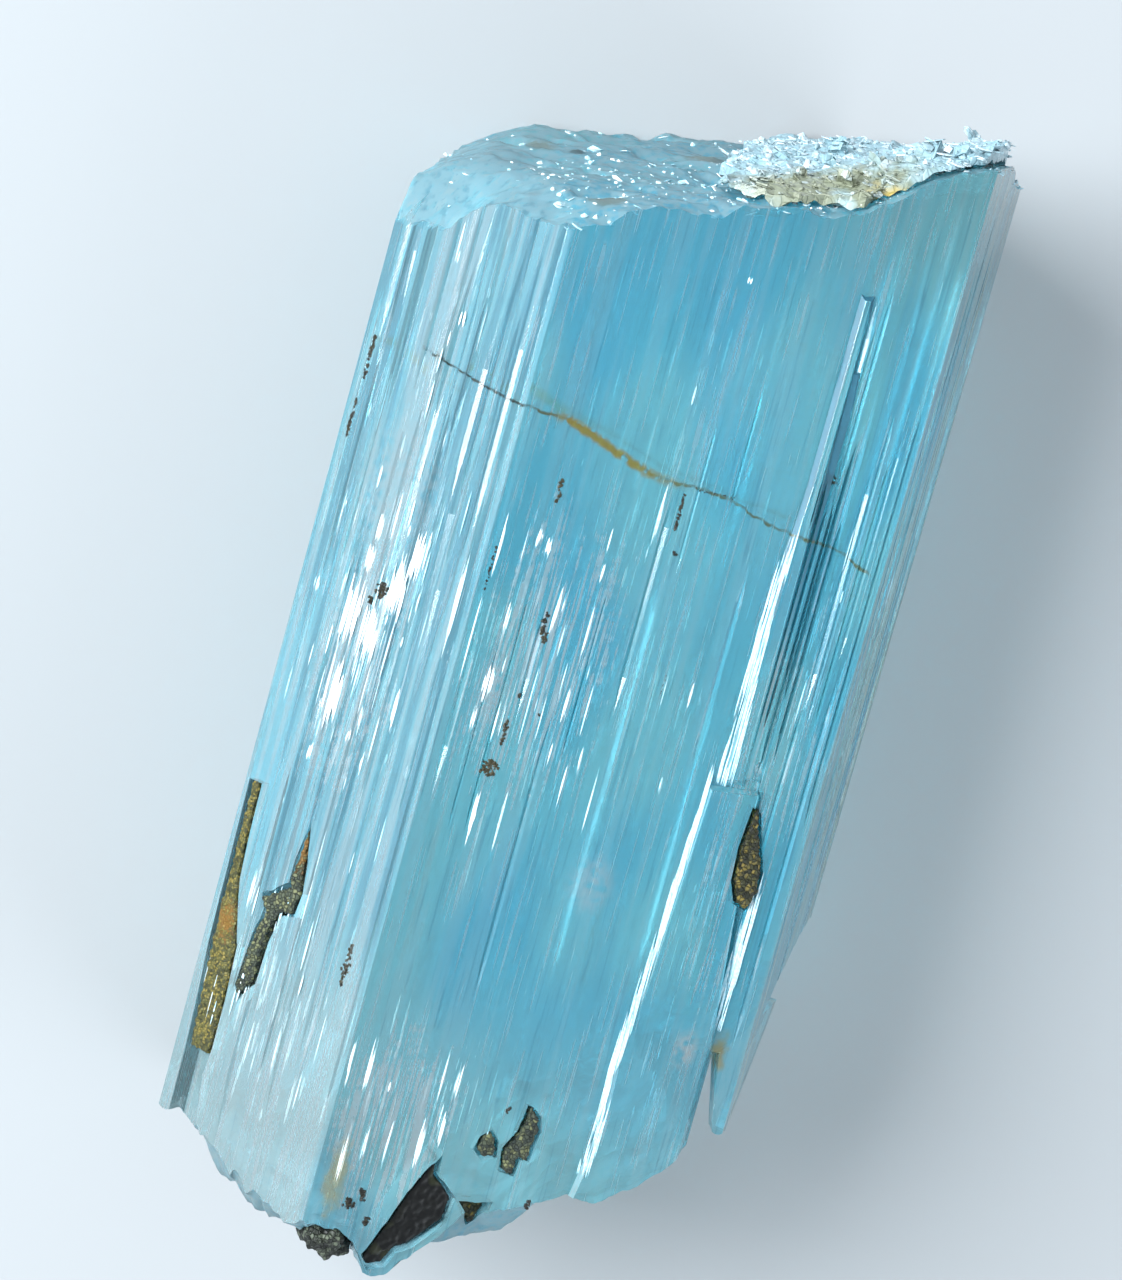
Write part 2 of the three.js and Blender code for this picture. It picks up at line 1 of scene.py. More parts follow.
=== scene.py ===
"""The looks of the aquamarine crystal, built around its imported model.

The crystal lies on its back prism face. X runs across it, Y along it to the crusted end and Z up.
Sizes in this script are in millimetres, and become metres where a mesh is made.
"""

from __future__ import annotations

import json
import logging
import math
import random
from contextlib import contextmanager
from dataclasses import dataclass, field
from enum import Enum
from typing import Callable, Iterator, Sequence

import bpy
from mathutils import Matrix, Vector

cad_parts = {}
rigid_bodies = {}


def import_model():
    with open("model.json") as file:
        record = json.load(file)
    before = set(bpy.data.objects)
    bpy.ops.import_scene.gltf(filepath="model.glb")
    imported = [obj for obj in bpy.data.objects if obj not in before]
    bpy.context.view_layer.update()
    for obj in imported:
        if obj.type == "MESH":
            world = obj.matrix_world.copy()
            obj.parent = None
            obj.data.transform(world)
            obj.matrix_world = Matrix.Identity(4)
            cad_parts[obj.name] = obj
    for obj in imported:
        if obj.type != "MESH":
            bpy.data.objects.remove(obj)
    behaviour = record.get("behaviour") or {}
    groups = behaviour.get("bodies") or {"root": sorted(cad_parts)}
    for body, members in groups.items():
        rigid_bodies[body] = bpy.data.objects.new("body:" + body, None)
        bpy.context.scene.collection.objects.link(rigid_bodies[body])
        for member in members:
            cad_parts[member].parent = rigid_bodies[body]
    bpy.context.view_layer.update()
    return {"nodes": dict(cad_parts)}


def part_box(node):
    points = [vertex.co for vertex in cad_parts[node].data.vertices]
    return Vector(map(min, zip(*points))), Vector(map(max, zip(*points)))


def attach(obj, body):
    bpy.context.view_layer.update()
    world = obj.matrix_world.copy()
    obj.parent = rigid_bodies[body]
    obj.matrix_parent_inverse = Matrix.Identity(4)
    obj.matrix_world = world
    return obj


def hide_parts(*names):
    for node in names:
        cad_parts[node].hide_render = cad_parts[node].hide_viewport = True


LOG = logging.getLogger("aquamarine")

MM = 0.001
FRONT_WIDTH = 18.8
SIXTY = math.radians(60)
BODY = "root"
TERMINATION_FROM = 18.5
BASE_TO = -9.0

Colour = tuple[float, float, float]
Pair = tuple[float, float]
Triple = tuple[float, float, float]
Socket = bpy.types.NodeSocket


class Face(Enum):
    """The prism faces, each with its turn about Y, in sixths of a full turn."""

    FRONT = 0
    RIGHT = 1
    LOWER_RIGHT = 2
    BACK = 3
    LOWER_LEFT = 4
    LEFT = 5


class Relief(Enum):
    """The procedural reliefs that shape a surface."""

    CLOUDS = "CLOUDS"
    CELLS = "VORONOI"


@dataclass(frozen=True)
class Prism:
    """The six-sided section of the crystal.

    Attributes:
        front: width of the front and back faces.
        side: width of each slanted face.
    """

    front: float
    side: float

    @property
    def depth(self) -> float:
        """Distance from the back face to the front face."""
        return 2 * self.side * math.sin(SIXTY)

    def corner(self, face: Face) -> Pair:
        """The section corner, as x and z, that a face starts from."""
        half_front = self.front / 2
        half_width = (self.front + self.side) / 2
        corners = {
            Face.FRONT: (-half_front, self.depth),
            Face.RIGHT: (half_front, self.depth),
            Face.LOWER_RIGHT: (half_width, self.depth / 2),
            Face.BACK: (half_front, 0.0),
            Face.LOWER_LEFT: (-half_front, 0.0),
            Face.LEFT: (-half_width, self.depth / 2),
        }
        return corners[face]

    def turn(self, face: Face) -> Matrix:
        """The turn that takes Z to a face's outward normal."""
        return Matrix.Rotation(face.value * SIXTY, 4, "Y")

    def place(self, face: Face, across: float, along: float, out: float = 0.0) -> Matrix:
        """Finds a place on a face, in metres, with Z along the face's normal.

        Args:
            face: the prism face.
            across: distance from the face's first corner.
            along: height along the crystal.
            out: distance out from the face.

        Returns:
            The matrix that takes a shape at the origin to that place.
        """
        corner = self.corner(face)
        start = Matrix.Translation(Vector((corner[0], 0.0, corner[1])) * MM)
        step = Matrix.Translation(Vector((across, along, out)) * MM)
        return start @ self.turn(face) @ step


@dataclass(frozen=True)
class Region:
    """A part of a face where one look is stronger.

    Attributes:
        face: the face that it lies in.
        across: its middle, from the middle of the front face, or from the first edge of another face.
        along: its middle along the crystal.
        width: its width.
        length: its length.
        strength: how strong the look is there, from 0 to 1.
    """

    face: Face
    across: float
    along: float
    width: float
    length: float
    strength: float = 1.0

    def centre(self, prism: Prism) -> Vector:
        """Its middle, in millimetres."""
        start = prism.front / 2 if self.face is Face.FRONT else 0.0
        return prism.place(self.face, self.across + start, self.along).translation / MM


FIBRES = (
    Region(Face.FRONT, -5.4, 0.5, 8.0, 16.0, 0.75),
    Region(Face.FRONT, -6.6, -21.5, 7.0, 10.0, 0.9),
    Region(Face.FRONT, 6.4, -3.5, 4.6, 24.0, 0.5),
    Region(Face.LEFT, 4.8, -1.5, 6.0, 15.0, 1.0),
)

HAZES = (
    Region(Face.FRONT, -0.3, -8.7, 2.8, 3.4, 0.6),
    Region(Face.FRONT, 6.3, -15.4, 1.5, 2.4, 0.9),
    Region(Face.FRONT, -7.4, -0.9, 1.8, 4.5, 0.7),
    Region(Face.LEFT, 4.5, 6.5, 6.5, 9.0, 0.6),
)


def deselect_all() -> None:
    """Deselects every object."""
    for item in bpy.context.view_layer.objects:
        item.select_set(False)


def activate(piece: bpy.types.Object) -> None:
    """Makes a piece the only selected one, and the active one."""
    deselect_all()
    piece.select_set(True)
    bpy.context.view_layer.objects.active = piece


@contextmanager
def editing(piece: bpy.types.Object, mode: str = "FACE") -> Iterator[None]:
    """Holds a piece in edit mode.

    Args:
        piece: the piece to edit.
        mode: what is selected, VERT, EDGE or FACE.

    Returns:
        A context in which edit mode operators act on the piece.
    """
    activate(piece)
    bpy.ops.object.mode_set(mode="EDIT")
    bpy.ops.mesh.select_mode(type=mode)
    yield
    bpy.ops.object.mode_set(mode="OBJECT")


def choose_faces(piece: bpy.types.Object, wanted: Callable[[Vector, Vector], bool]) -> int:
    """Selects faces by their place and normal.

    Args:
        piece: the piece, in object mode.
        wanted: says from a face's centre, in millimetres, and its normal whether it is selected.

    Returns:
        How many faces are selected.
    """
    mesh = piece.data
    for vertex in mesh.vertices:
        vertex.select = False
    for edge in mesh.edges:
        edge.select = False
    count = 0
    for polygon in mesh.polygons:
        polygon.select = wanted(polygon.center / MM, polygon.normal)
        count += polygon.select
    return count


def modify(piece: bpy.types.Object, kind: str, **settings: object) -> None:
    """Adds a modifier to a piece and applies it.

    Args:
        piece: the piece.
        kind: the modifier's type.
        settings: what is set on the modifier.
    """
    activate(piece)
    modifier = piece.modifiers.new(kind.lower(), kind)
    for name, value in settings.items():
        setattr(modifier, name, value)
    bpy.ops.object.modifier_apply(modifier=modifier.name)


def displace(
    piece: bpy.types.Object,
    relief: Relief,
    size: float,
    height: float,
    direction: str = "NORMAL",
    group: str = "",
) -> None:
    """Gives a piece a procedural relief.

    Args:
        piece: the piece.
        relief: the kind of relief.
        size: width of its lumps.
        height: height from its lowest to its highest point.
        direction: the way in which points move.
        group: the vertex group that moves, or all points.
    """
    texture = bpy.data.textures.new(f"{piece.name}_{relief.name.lower()}", relief.value)
    texture.noise_scale = size * MM
    modify(
        piece,
        "DISPLACE",
        texture=texture,
        texture_coords="LOCAL",
        strength=height * MM,
        mid_level=0.5,
        direction=direction,
        vertex_group=group,
    )


def merge(piece: bpy.types.Object, distance: float = 0.0005) -> None:
    """Joins points that lie together, so that loose triangles become one surface."""
    with editing(piece, "VERT"):
        bpy.ops.mesh.select_all(action="SELECT")
        bpy.ops.mesh.remove_doubles(threshold=distance * MM)


def copy_of(node: bpy.types.Object, name: str) -> bpy.types.Object:
    """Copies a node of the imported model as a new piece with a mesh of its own.

    Args:
        node: the node to copy.
        name: the new piece's name.

    Returns:
        The new piece, merged.
    """
    piece = bpy.data.objects.new(name, node.data.copy())
    piece.data.name = name
    piece.data.materials.clear()
    bpy.context.scene.collection.objects.link(piece)
    merge(piece)
    return piece


def smooth(piece: bpy.types.Object, degrees: float) -> None:
    """Shades a piece smooth, with edges sharper than an angle left sharp."""
    activate(piece)
    bpy.ops.object.shade_smooth_by_angle(angle=math.radians(degrees))


def mark(piece: bpy.types.Object, name: str, wanted: Callable[[Vector, Vector], bool]) -> None:
    """Writes a mark on some faces, which a material reads.

    Args:
        piece: the piece.
        name: the mark's name.
        wanted: says from a face's centre, in millimetres, and its normal whether it has the mark.
    """
    attribute = piece.data.attributes.new(name, "FLOAT", "FACE")
    values = [float(wanted(polygon.center / MM, polygon.normal)) for polygon in piece.data.polygons]
    attribute.data.foreach_set("value", values)


def scattered(
    name: str, shapes: Sequence[bpy.types.Mesh], places: Sequence[Matrix], tones: Sequence[float]
) -> bpy.types.Object:
    """Joins copies of small shapes into one piece.

    Args:
        name: the piece's name.
        shapes: the shapes, used in turn.
        places: where each copy goes, and how large it is.
        tones: a value for each copy, which the material reads.

    Returns:
        The new piece.
    """
    points: list[Vector] = []
    faces: list[tuple[int, ...]] = []
    shades: list[float] = []
    for index, (place, tone) in enumerate(zip(places, tones)):
        shape = shapes[index % len(shapes)]
        first = len(points)
        points.extend(place @ vertex.co for vertex in shape.vertices)
        faces.extend(tuple(first + corner for corner in polygon.vertices) for polygon in shape.polygons)
        shades.extend([tone] * len(shape.vertices))
    mesh = bpy.data.meshes.new(name)
    mesh.from_pydata(points, [], faces)
    mesh.attributes.new("tone", "FLOAT", "POINT").data.foreach_set("value", shades)
    piece = bpy.data.objects.new(name, mesh)
    bpy.context.scene.collection.objects.link(piece)
    return piece


def take_mesh() -> bpy.types.Mesh:
    """Takes the active object's mesh and removes the object."""
    shape = bpy.context.object
    mesh = shape.data
    bpy.data.objects.remove(shape)
    return mesh


def finish_piece(
    piece: bpy.types.Object, material: bpy.types.Material, replaced: Sequence[str] = ()
) -> None:
    """Dresses a piece and says what it is to the frame.

    Args:
        piece: the piece.
        material: its finish.
        replaced: the nodes that it stands for.
    """
    piece.data.materials.clear()
    piece.data.materials.append(material)
    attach(piece, BODY)
    if replaced:
        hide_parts(*replaced)
    LOG.info("%s: %d faces", piece.name, len(piece.data.polygons))


class Shapes:
    """The small shapes that are copied many times, each about one unit in half size."""

    @staticmethod
    def sliver() -> bpy.types.Mesh:
        """A five-sided sliver along Y that tapers in steps to both ends."""
        deselect_all()
        bpy.ops.mesh.primitive_cylinder_add(vertices=5, radius=1.0, depth=0.3, rotation=(math.pi / 2, 0, 0))
        bpy.ops.object.transform_apply(rotation=True)
        piece = bpy.context.object
        for side in (1, -1):
            piece.data.update()
            choose_faces(piece, lambda centre, normal, side=side: normal.y * side > 0.9)
            with editing(piece):
                for step, taper in ((0.35, 0.8), (0.3, 0.6), (0.2, 0.15)):
                    move = (0.0, step * side, 0.0)
                    bpy.ops.mesh.extrude_region_move(TRANSFORM_OT_translate={"value": move})
                    bpy.ops.transform.resize(value=(taper, 1.0, taper))
        return take_mesh()

    @staticmethod
    def flake() -> bpy.types.Mesh:
        """A stepped six-sided flake in the XY plane."""
        deselect_all()
        bpy.ops.mesh.primitive_cylinder_add(vertices=6, radius=1.0, depth=0.16)
        piece = bpy.context.object
        choose_faces(piece, lambda centre, normal: normal.z > 0.9)
        with editing(piece):
            bpy.ops.mesh.inset(thickness=0.22)
            bpy.ops.transform.translate(value=(0.12, 0.05, 0.0))
            bpy.ops.mesh.extrude_region_move(TRANSFORM_OT_translate={"value": (0.0, 0.0, 0.1)})
            bpy.ops.transform.resize(value=(0.92, 0.92, 1.0))
        return take_mesh()

    @staticmethod
    def crumb(seed: int) -> bpy.types.Mesh:
        """An angular crumb.

        Args:
            seed: picks one of many forms.

        Returns:
            The crumb's mesh.
        """
        deselect_all()
        bpy.ops.mesh.primitive_ico_sphere_add(subdivisions=1, radius=1.0)
        piece = bpy.context.object
        with editing(piece, "VERT"):
            bpy.ops.mesh.select_all(action="SELECT")
            bpy.ops.transform.vertex_random(offset=0.35, uniform=0.4, seed=seed)
        return take_mesh()


class Nodes:
    """Adds and joins the nodes of one tree."""

    def __init__(self, tree: bpy.types.NodeTree) -> None:
        """Keeps the tree."""
        self.tree = tree

    def add(self, kind: str, **settings: object) -> bpy.types.Node:
        """Adds a node of a kind with its settings."""
        node = self.tree.nodes.new(kind)
        for name, value in settings.items():
            setattr(node, name, value)
        return node

    def feed(self, target: Socket, source: object) -> None:
        """Links a socket to a source, or gives it a plain value."""
        if isinstance(source, Socket):
            self.tree.links.new(source, target)
        elif isinstance(source, tuple) and len(source) == 3 and target.type == "RGBA":
            target.default_value = (*source, 1.0)
        else:
            target.default_value = source

    def math(self, operation: str, first: object, second: object = 0.0) -> Socket:
        """Joins two values by an operation.

        Args:
            operation: the Math node's operation.
            first: a socket or a number.
            second: a socket or a number.

        Returns:
            The result's socket.
        """
        node = self.add("ShaderNodeMath", operation=operation)
        self.feed(node.inputs[0], first)
        self.feed(node.inputs[1], second)
        return node.outputs[0]

    def times(self, first: object, second: object) -> Socket:
        """Multiplies two values."""
        return self.math("MULTIPLY", first, second)

    def plus(self, first: object, second: object) -> Socket:
        """Adds two values."""
        return self.math("ADD", first, second)

    def minus(self, first: object, second: object) -> Socket:
        """Takes the second value from the first."""
        return self.math("SUBTRACT", first, second)

    def most(self, first: object, second: object) -> Socket:
        """The larger of two values."""
        return self.math("MAXIMUM", first, second)

    def mix(self, factor: object, first: object, second: object) -> Socket:
        """Mixes two colours.

        Args:
            factor: the share of the second colour.
            first: a colour or its socket.
            second: a colour or its socket.

        Returns:
            The mixed colour's socket.
        """
        node = self.add("ShaderNodeMix", data_type="RGBA")
        self.feed(node.inputs["Factor"], factor)
        self.feed(node.inputs[6], first)
        self.feed(node.inputs[7], second)
        return node.outputs[2]

    def ease(self, value: object, low: object, high: object) -> Socket:
        """Rises smoothly from 0 to 1 as a value goes from low to high.

        Args:
            value: the value's socket.
            low: where the rise starts.
            high: where it ends.

        Returns:
            The rise's socket.
        """
        node = self.add("ShaderNodeMapRange", interpolation_type="SMOOTHSTEP")
        self.feed(node.inputs["Value"], value)
        self.feed(node.inputs["From Min"], low)
        self.feed(node.inputs["From Max"], high)
        return node.outputs["Result"]

    def place(self) -> Socket:
        """The object's own place, in millimetres."""
        coordinates = self.add("ShaderNodeTexCoord")
        scale = self.add("ShaderNodeVectorMath", operation="SCALE")
        self.feed(scale.inputs[0], coordinates.outputs["Object"])
        scale.inputs["Scale"].default_value = 1 / MM
        return scale.outputs[0]

    def parts(self, vector: Socket) -> tuple[Socket, ...]:
        """A vector's X, Y and Z."""
        node = self.add("ShaderNodeSeparateXYZ")
        self.feed(node.inputs[0], vector)
        return tuple(node.outputs)

    def noise(
        self, vector: Socket, width: float, detail: float = 2.0, length: float | None = None
    ) -> Socket:
        """Smooth noise about 0.5.

        Args:
            vector: a place, in millimetres.
            width: width of its lumps.
            detail: how many finer layers it has.
            length: their length along Y, where it isn't their width.

        Returns:
            The noise's socket.
        """
        stretch = self.add("ShaderNodeVectorMath", operation="DIVIDE")
        self.feed(stretch.inputs[0], vector)
        stretch.inputs[1].default_value = (width, length or width, width)
        node = self.add("ShaderNodeTexNoise", normalize=True)
        self.feed(node.inputs["Vector"], stretch.outputs[0])
        node.inputs["Scale"].default_value = 1.0
        node.inputs["Detail"].default_value = detail
        return node.outputs["Fac"]

    def mark(self, name: str) -> Socket:
        """A mark or tone that the piece carries."""
        return self.add("ShaderNodeAttribute", attribute_name=name).outputs["Fac"]

    def group(self, tree: bpy.types.NodeTree, **values: object) -> bpy.types.Node:
        """Places a shared effect.

        Args:
            tree: the effect's tree.
            values: its inputs by name, with underscores for spaces.

        Returns:
            The group's node.
        """
        node = self.add("ShaderNodeGroup", node_tree=tree)
        for name, value in values.items():
            self.feed(node.inputs[name.replace("_", " ")], value)
        return node


class Effects:
    """The shared effects, each built once."""

    def __init__(self) -> None:
        """Builds every effect."""
        self.streaks = self._streaks()
        self.grains = self._grains()
        self.spot = self._spot()

    @staticmethod
    def _tree(name: str, inputs: dict[str, object], outputs: dict[str, str]) -> tuple:
        """Starts an effect's tree.

        Args:
            name: the effect's name.
            inputs: default values by name, a tuple for a vector.
            outputs: socket types by name.

        Returns:
            The tree, its Nodes, its input node and its output node.
        """
        tree = bpy.data.node_groups.new(name, "ShaderNodeTree")
        for label, value in inputs.items():
            kind = "NodeSocketVector" if isinstance(value, tuple) else "NodeSocketFloat"
            socket = tree.interface.new_socket(name=label, in_out="INPUT", socket_type=kind)
            socket.default_value = value
        for label, kind in outputs.items():
            tree.interface.new_socket(name=label, in_out="OUTPUT", socket_type=kind)
        nodes = Nodes(tree)
        return tree, nodes, nodes.add("NodeGroupInput"), nodes.add("NodeGroupOutput")

    def _streaks(self) -> bpy.types.NodeTree:
        """Streaks along the crystal: a light mask and a dark mask.

        Light and Dark say where each mask starts, and Soft how wide its edges are.
        Gain makes light streaks common.
        """
        defaults = {"Place": (0.0, 0.0, 0.0), "Width": 0.2, "Length": 5.0, "Gain": 0.0}
        defaults.update({"Light": 0.6, "Dark": 0.4, "Soft": 0.1})
        outputs = {"Light": "NodeSocketFloat", "Dark": "NodeSocketFloat"}
        tree, nodes, given, result = self._tree("Lengthwise streaks", defaults, outputs)
        size = nodes.add("ShaderNodeCombineXYZ")
        nodes.feed(size.inputs[0], given.outputs["Width"])
        nodes.feed(size.inputs[1], given.outputs["Length"])
        nodes.feed(size.inputs[2], given.outputs["Width"])
        stretch = nodes.add("ShaderNodeVectorMath", operation="DIVIDE")
        nodes.feed(stretch.inputs[0], given.outputs["Place"])
        nodes.feed(stretch.inputs[1], size.outputs[0])
        texture = nodes.add("ShaderNodeTexNoise")
        nodes.feed(texture.inputs["Vector"], stretch.outputs[0])
        texture.inputs["Scale"].default_value = 1.0
        texture.inputs["Detail"].default_value = 1.0
        lifted = nodes.plus(texture.outputs["Fac"], given.outputs["Gain"])
        light, dark, soft = (given.outputs[name] for name in ("Light", "Dark", "Soft"))
        nodes.feed(result.inputs["Light"], nodes.ease(lifted, light, nodes.plus(light, soft)))
        nodes.feed(result.inputs["Dark"], nodes.ease(lifted, dark, nodes.minus(dark, soft)))
        return tree

    def _grains(self) -> bpy.types.NodeTree:
        """Grains of a mineral: a value for each grain, the joints between them and a height."""
        outputs = {"Tone": "NodeSocketFloat", "Joint": "NodeSocketFloat", "Height": "NodeSocketFloat"}
        defaults = {"Place": (0.0, 0.0, 0.0), "Size": 0.3}
        tree, nodes, given, result = self._tree("Mineral grains", defaults, outputs)
        rate = nodes.math("DIVIDE", 1.0, given.outputs["Size"])
        cells = nodes.add("ShaderNodeTexVoronoi")
        edges = nodes.add("ShaderNodeTexVoronoi", feature="DISTANCE_TO_EDGE")
        for texture in (cells, edges):
            nodes.feed(texture.inputs["Vector"], given.outputs["Place"])
            nodes.feed(texture.inputs["Scale"], rate)
        tone = nodes.parts(cells.outputs["Color"])[0]
        joint = nodes.minus(1.0, nodes.ease(edges.outputs["Distance"], 0.0, 0.18))
        height = nodes.minus(nodes.times(tone, 0.6), joint)
        nodes.feed(result.inputs["Tone"], tone)
        nodes.feed(result.inputs["Joint"], joint)
        nodes.feed(result.inputs["Height"], height)
        return tree

    def _spot(self) -> bpy.types.NodeTree:
        """A soft ragged spot about a place, as a mask. Wobble is noise about 0.5."""
        defaults = {"Place": (0.0, 0.0, 0.0), "Centre": (0.0, 0.0, 0.0)}
        defaults.update({"Reach": (1.0, 1.0, 1.0), "Wobble": 0.5})
        tree, nodes, given, result = self._tree("Soft spot", defaults, {"Mask": "NodeSocketFloat"})
        rate = nodes.add("ShaderNodeVectorMath", operation="DIVIDE")
        rate.inputs[0].default_value = (1.0, 1.0, 1.0)
        nodes.feed(rate.inputs[1], given.outputs["Reach"])
        start = nodes.add("ShaderNodeVectorMath", operation="MULTIPLY")
        nodes.feed(start.inputs[0], given.outputs["Centre"])
        nodes.feed(start.inputs[1], rate.outputs[0])
        scaled = nodes.add("ShaderNodeVectorMath", operation="MULTIPLY")
        nodes.feed(scaled.inputs[0], given.outputs["Place"])
        nodes.feed(scaled.inputs[1], rate.outputs[0])
        length = nodes.add("ShaderNodeVectorMath", operation="DISTANCE")
        nodes.feed(length.inputs[0], scaled.outputs[0])
        nodes.feed(length.inputs[1], start.outputs[0])
        distance = nodes.plus(length.outputs["Value"], given.outputs["Wobble"])
        nodes.feed(result.inputs["Mask"], nodes.ease(distance, 1.6, 0.9))
        return tree


@dataclass(frozen=True)
class Finish:
    """What every finish has.

    Attributes:
        name: the material's name.
        roughness: the plain part of its roughness.
        ior: its index of refraction.
    """

    name: str
    roughness: float = 0.5
    ior: float = 1.5

    def start(self) -> tuple[bpy.types.Material, Nodes, bpy.types.Node]:
        """Starts the material.

        Returns:
            The material, its Nodes and its shader.
        """
        material = bpy.data.materials.new(self.name)
        material.use_nodes = True
        nodes = Nodes(material.node_tree)
        shader = material.node_tree.nodes["Principled BSDF"]
        shader.inputs["Roughness"].default_value = self.roughness
        shader.inputs["IOR"].default_value = self.ior
        return material, nodes, shader

    @staticmethod
    def bump(nodes: Nodes, shader: bpy.types.Node, height: Socket, depth: float) -> None:
        """Gives the shader a fine relief.

        Args:
            nodes: the material's Nodes.
            shader: its shader.
            height: the relief's socket.
            depth: its depth, in millimetres.
        """
        node = nodes.add("ShaderNodeBump")
        nodes.feed(node.inputs["Height"], height)
        node.inputs["Distance"].default_value = depth * MM
        node.inputs["Strength"].default_value = 1.0
        nodes.feed(shader.inputs["Normal"], node.outputs["Normal"])


@dataclass(frozen=True)
class Beryl(Finish):
    """Clear sky blue beryl with haze, fibres, etched ends and a stained crack.

    Attributes:
        deep: the front's darker clouds.
        pale: the front's lighter clouds.
        painted_sky_reflection: a painted reflection of the sky that lightens and tints the slanted left face.
        milk: the milky lower part.
        white: haze, fibres and light bands.
        shade: dark bands and grooves.
        frost: the etched and broken ends.
        cream: ridges on the slanted right face.
        beige: dull patches on the termination.
        straw: the streak beside the lower left edge.
        stain: the crack's stain and the slot's.
        soot: the crack on the left face, and the slit on the termination.
        rust: the crack on the front.
        absorption: the tint that grows with depth.
        density: how fast it grows.
        transmission: the share of light that passes through.
        edge: how far from the middle the slanted faces begin.
        foot: heights between which the milky lower part begins.
        layer: heights between which the raised layers' flanks lie.
        crack_slope: how far the crack falls for each step across.
        crack_height: its height at the middle of the front.
    """

    deep: Colour = (0.16, 0.75, 0.99)
    pale: Colour = (0.32, 0.89, 1.0)
    painted_sky_reflection: Colour = (0.42, 0.87, 1.0)
    milk: Colour = (0.74, 0.97, 1.0)
    white: Colour = (0.93, 0.98, 1.0)
    shade: Colour = (0.08, 0.34, 0.50)
    frost: Colour = (0.60, 0.90, 1.0)
    cream: Colour = (0.86, 0.92, 0.76)
    beige: Colour = (0.50, 0.46, 0.34)
    straw: Colour = (0.80, 0.74, 0.42)
    stain: Colour = (0.66, 0.40, 0.04)
    soot: Colour = (0.07, 0.06, 0.04)
    rust: Colour = (0.24, 0.22, 0.09)
    absorption: Colour = (0.33, 0.94, 1.0)
    density: float = 40.0
    transmission: float = 0.8
    edge: Pair = (9.2, 9.7)
    foot: Pair = (-11.0, -19.0)
    layer: Pair = (18.54, 18.82)
    crack_slope: float = 0.216
    crack_height: float = 10.15

    def build(self, effects: Effects, prism: Prism) -> bpy.types.Material:
        """Builds the material.

        Args:
            effects: the shared effects.
            prism: the crystal's section.

        Returns:
            The material.
        """
        material, nodes, shader = self.start()
        place = nodes.place()
        x, y, z = nodes.parts(place)
        ends = nodes.most(nodes.mark("etched"), nodes.mark("broken"))
        left = nodes.ease(nodes.times(x, -1.0), *self.edge)
        right = nodes.ease(x, *self.edge)
        low = nodes.ease(y, *self.foot)
        fine = nodes.noise(place, 0.45, 1.0)
        fibre = self._cover(nodes, effects, prism, place, fine, FIBRES)
        fibre = nodes.most(fibre, nodes.times(nodes.times(left, low), 0.45))
        haze = self._cover(nodes, effects, prism, place, fine, HAZES)
        milky = nodes.times(nodes.plus(nodes.times(left, 0.5), 0.2), nodes.plus(low, 0.3))
        gain = nodes.times(fibre, 0.16)
        hair = nodes.group(effects.streaks, Place=place, Width=0.12, Length=4.5, Gain=gain, Dark=0.38)
        bands = nodes.group(
            effects.streaks, Place=place, Width=0.62, Length=26.0, Light=0.53, Dark=0.46, Soft=0.04
        )

        clouds = nodes.noise(place, 5.0, 0.0, 9.0)
        colour = nodes.mix(nodes.ease(clouds, 0.35, 0.65), self.deep, self.pale)
        # Painted reflection: the slanted left face is lightened and tinted as if it mirrored the sky.
        colour = nodes.mix(nodes.times(left, 0.85), colour, self.painted_sky_reflection)
        weight = nodes.plus(0.12, nodes.times(nodes.most(left, right), 0.43))
        colour = nodes.mix(nodes.times(bands.outputs["Dark"], weight), colour, self.shade)
        colour = nodes.mix(nodes.times(bands.outputs["Light"], weight), colour, self.white)
        colour = nodes.mix(milky, colour, self.milk)
        colour = nodes.mix(nodes.times(haze, nodes.ease(fine, 0.35, 0.6)), colour, self.white)
        colour = nodes.mix(nodes.times(hair.outputs["Dark"], 0.4), colour, self.shade)
        weight = nodes.plus(0.35, nodes.times(fibre, 0.45))
        colour = nodes.mix(nodes.times(hair.outputs["Light"], weight), colour, self.white)
        ridges = nodes.times(right, nodes.times(bands.outputs["Light"], 0.7))
        colour = nodes.mix(ridges, colour, self.cream)
        colour = nodes.mix(nodes.times(ends, nodes.ease(fine, 0.3, 0.6)), colour, self.frost)
        for centre, reach, tint in self._patches():
            spot = nodes.group(effects.spot, Place=place, Centre=centre, Reach=reach, Wobble=fine)
            colour = nodes.mix(nodes.times(spot.outputs[0], 0.8), colour, tint)
        bottom, top = self.layer
        flank = nodes.times(nodes.ease(z, bottom, bottom + 0.04), nodes.ease(z, top, top - 0.03))
        flank = nodes.times(flank, nodes.ease(x, 6.0, 5.6))
        colour = nodes.mix(nodes.times(flank, nodes.ease(y, 4.0, 9.0)), colour, self.shade)
        nodes.feed(shader.inputs["Base Color"], self._crack(nodes, x, y, fine, clouds, colour))

        rough = nodes.plus(self.roughness, nodes.times(nodes.most(ends, flank), 0.35))
        rough = nodes.plus(rough, nodes.times(hair.outputs["Light"], 0.2))
        nodes.feed(shader.inputs["Roughness"], rough)

        shader.inputs["Transmission Weight"].default_value = self.transmission
        volume = nodes.add("ShaderNodeVolumeAbsorption")
        volume.inputs["Color"].default_value = (*self.absorption, 1.0)
        volume.inputs["Density"].default_value = self.density
        output = material.node_tree.nodes["Material Output"]
        nodes.feed(output.inputs["Volume"], volume.outputs[0])
        return material

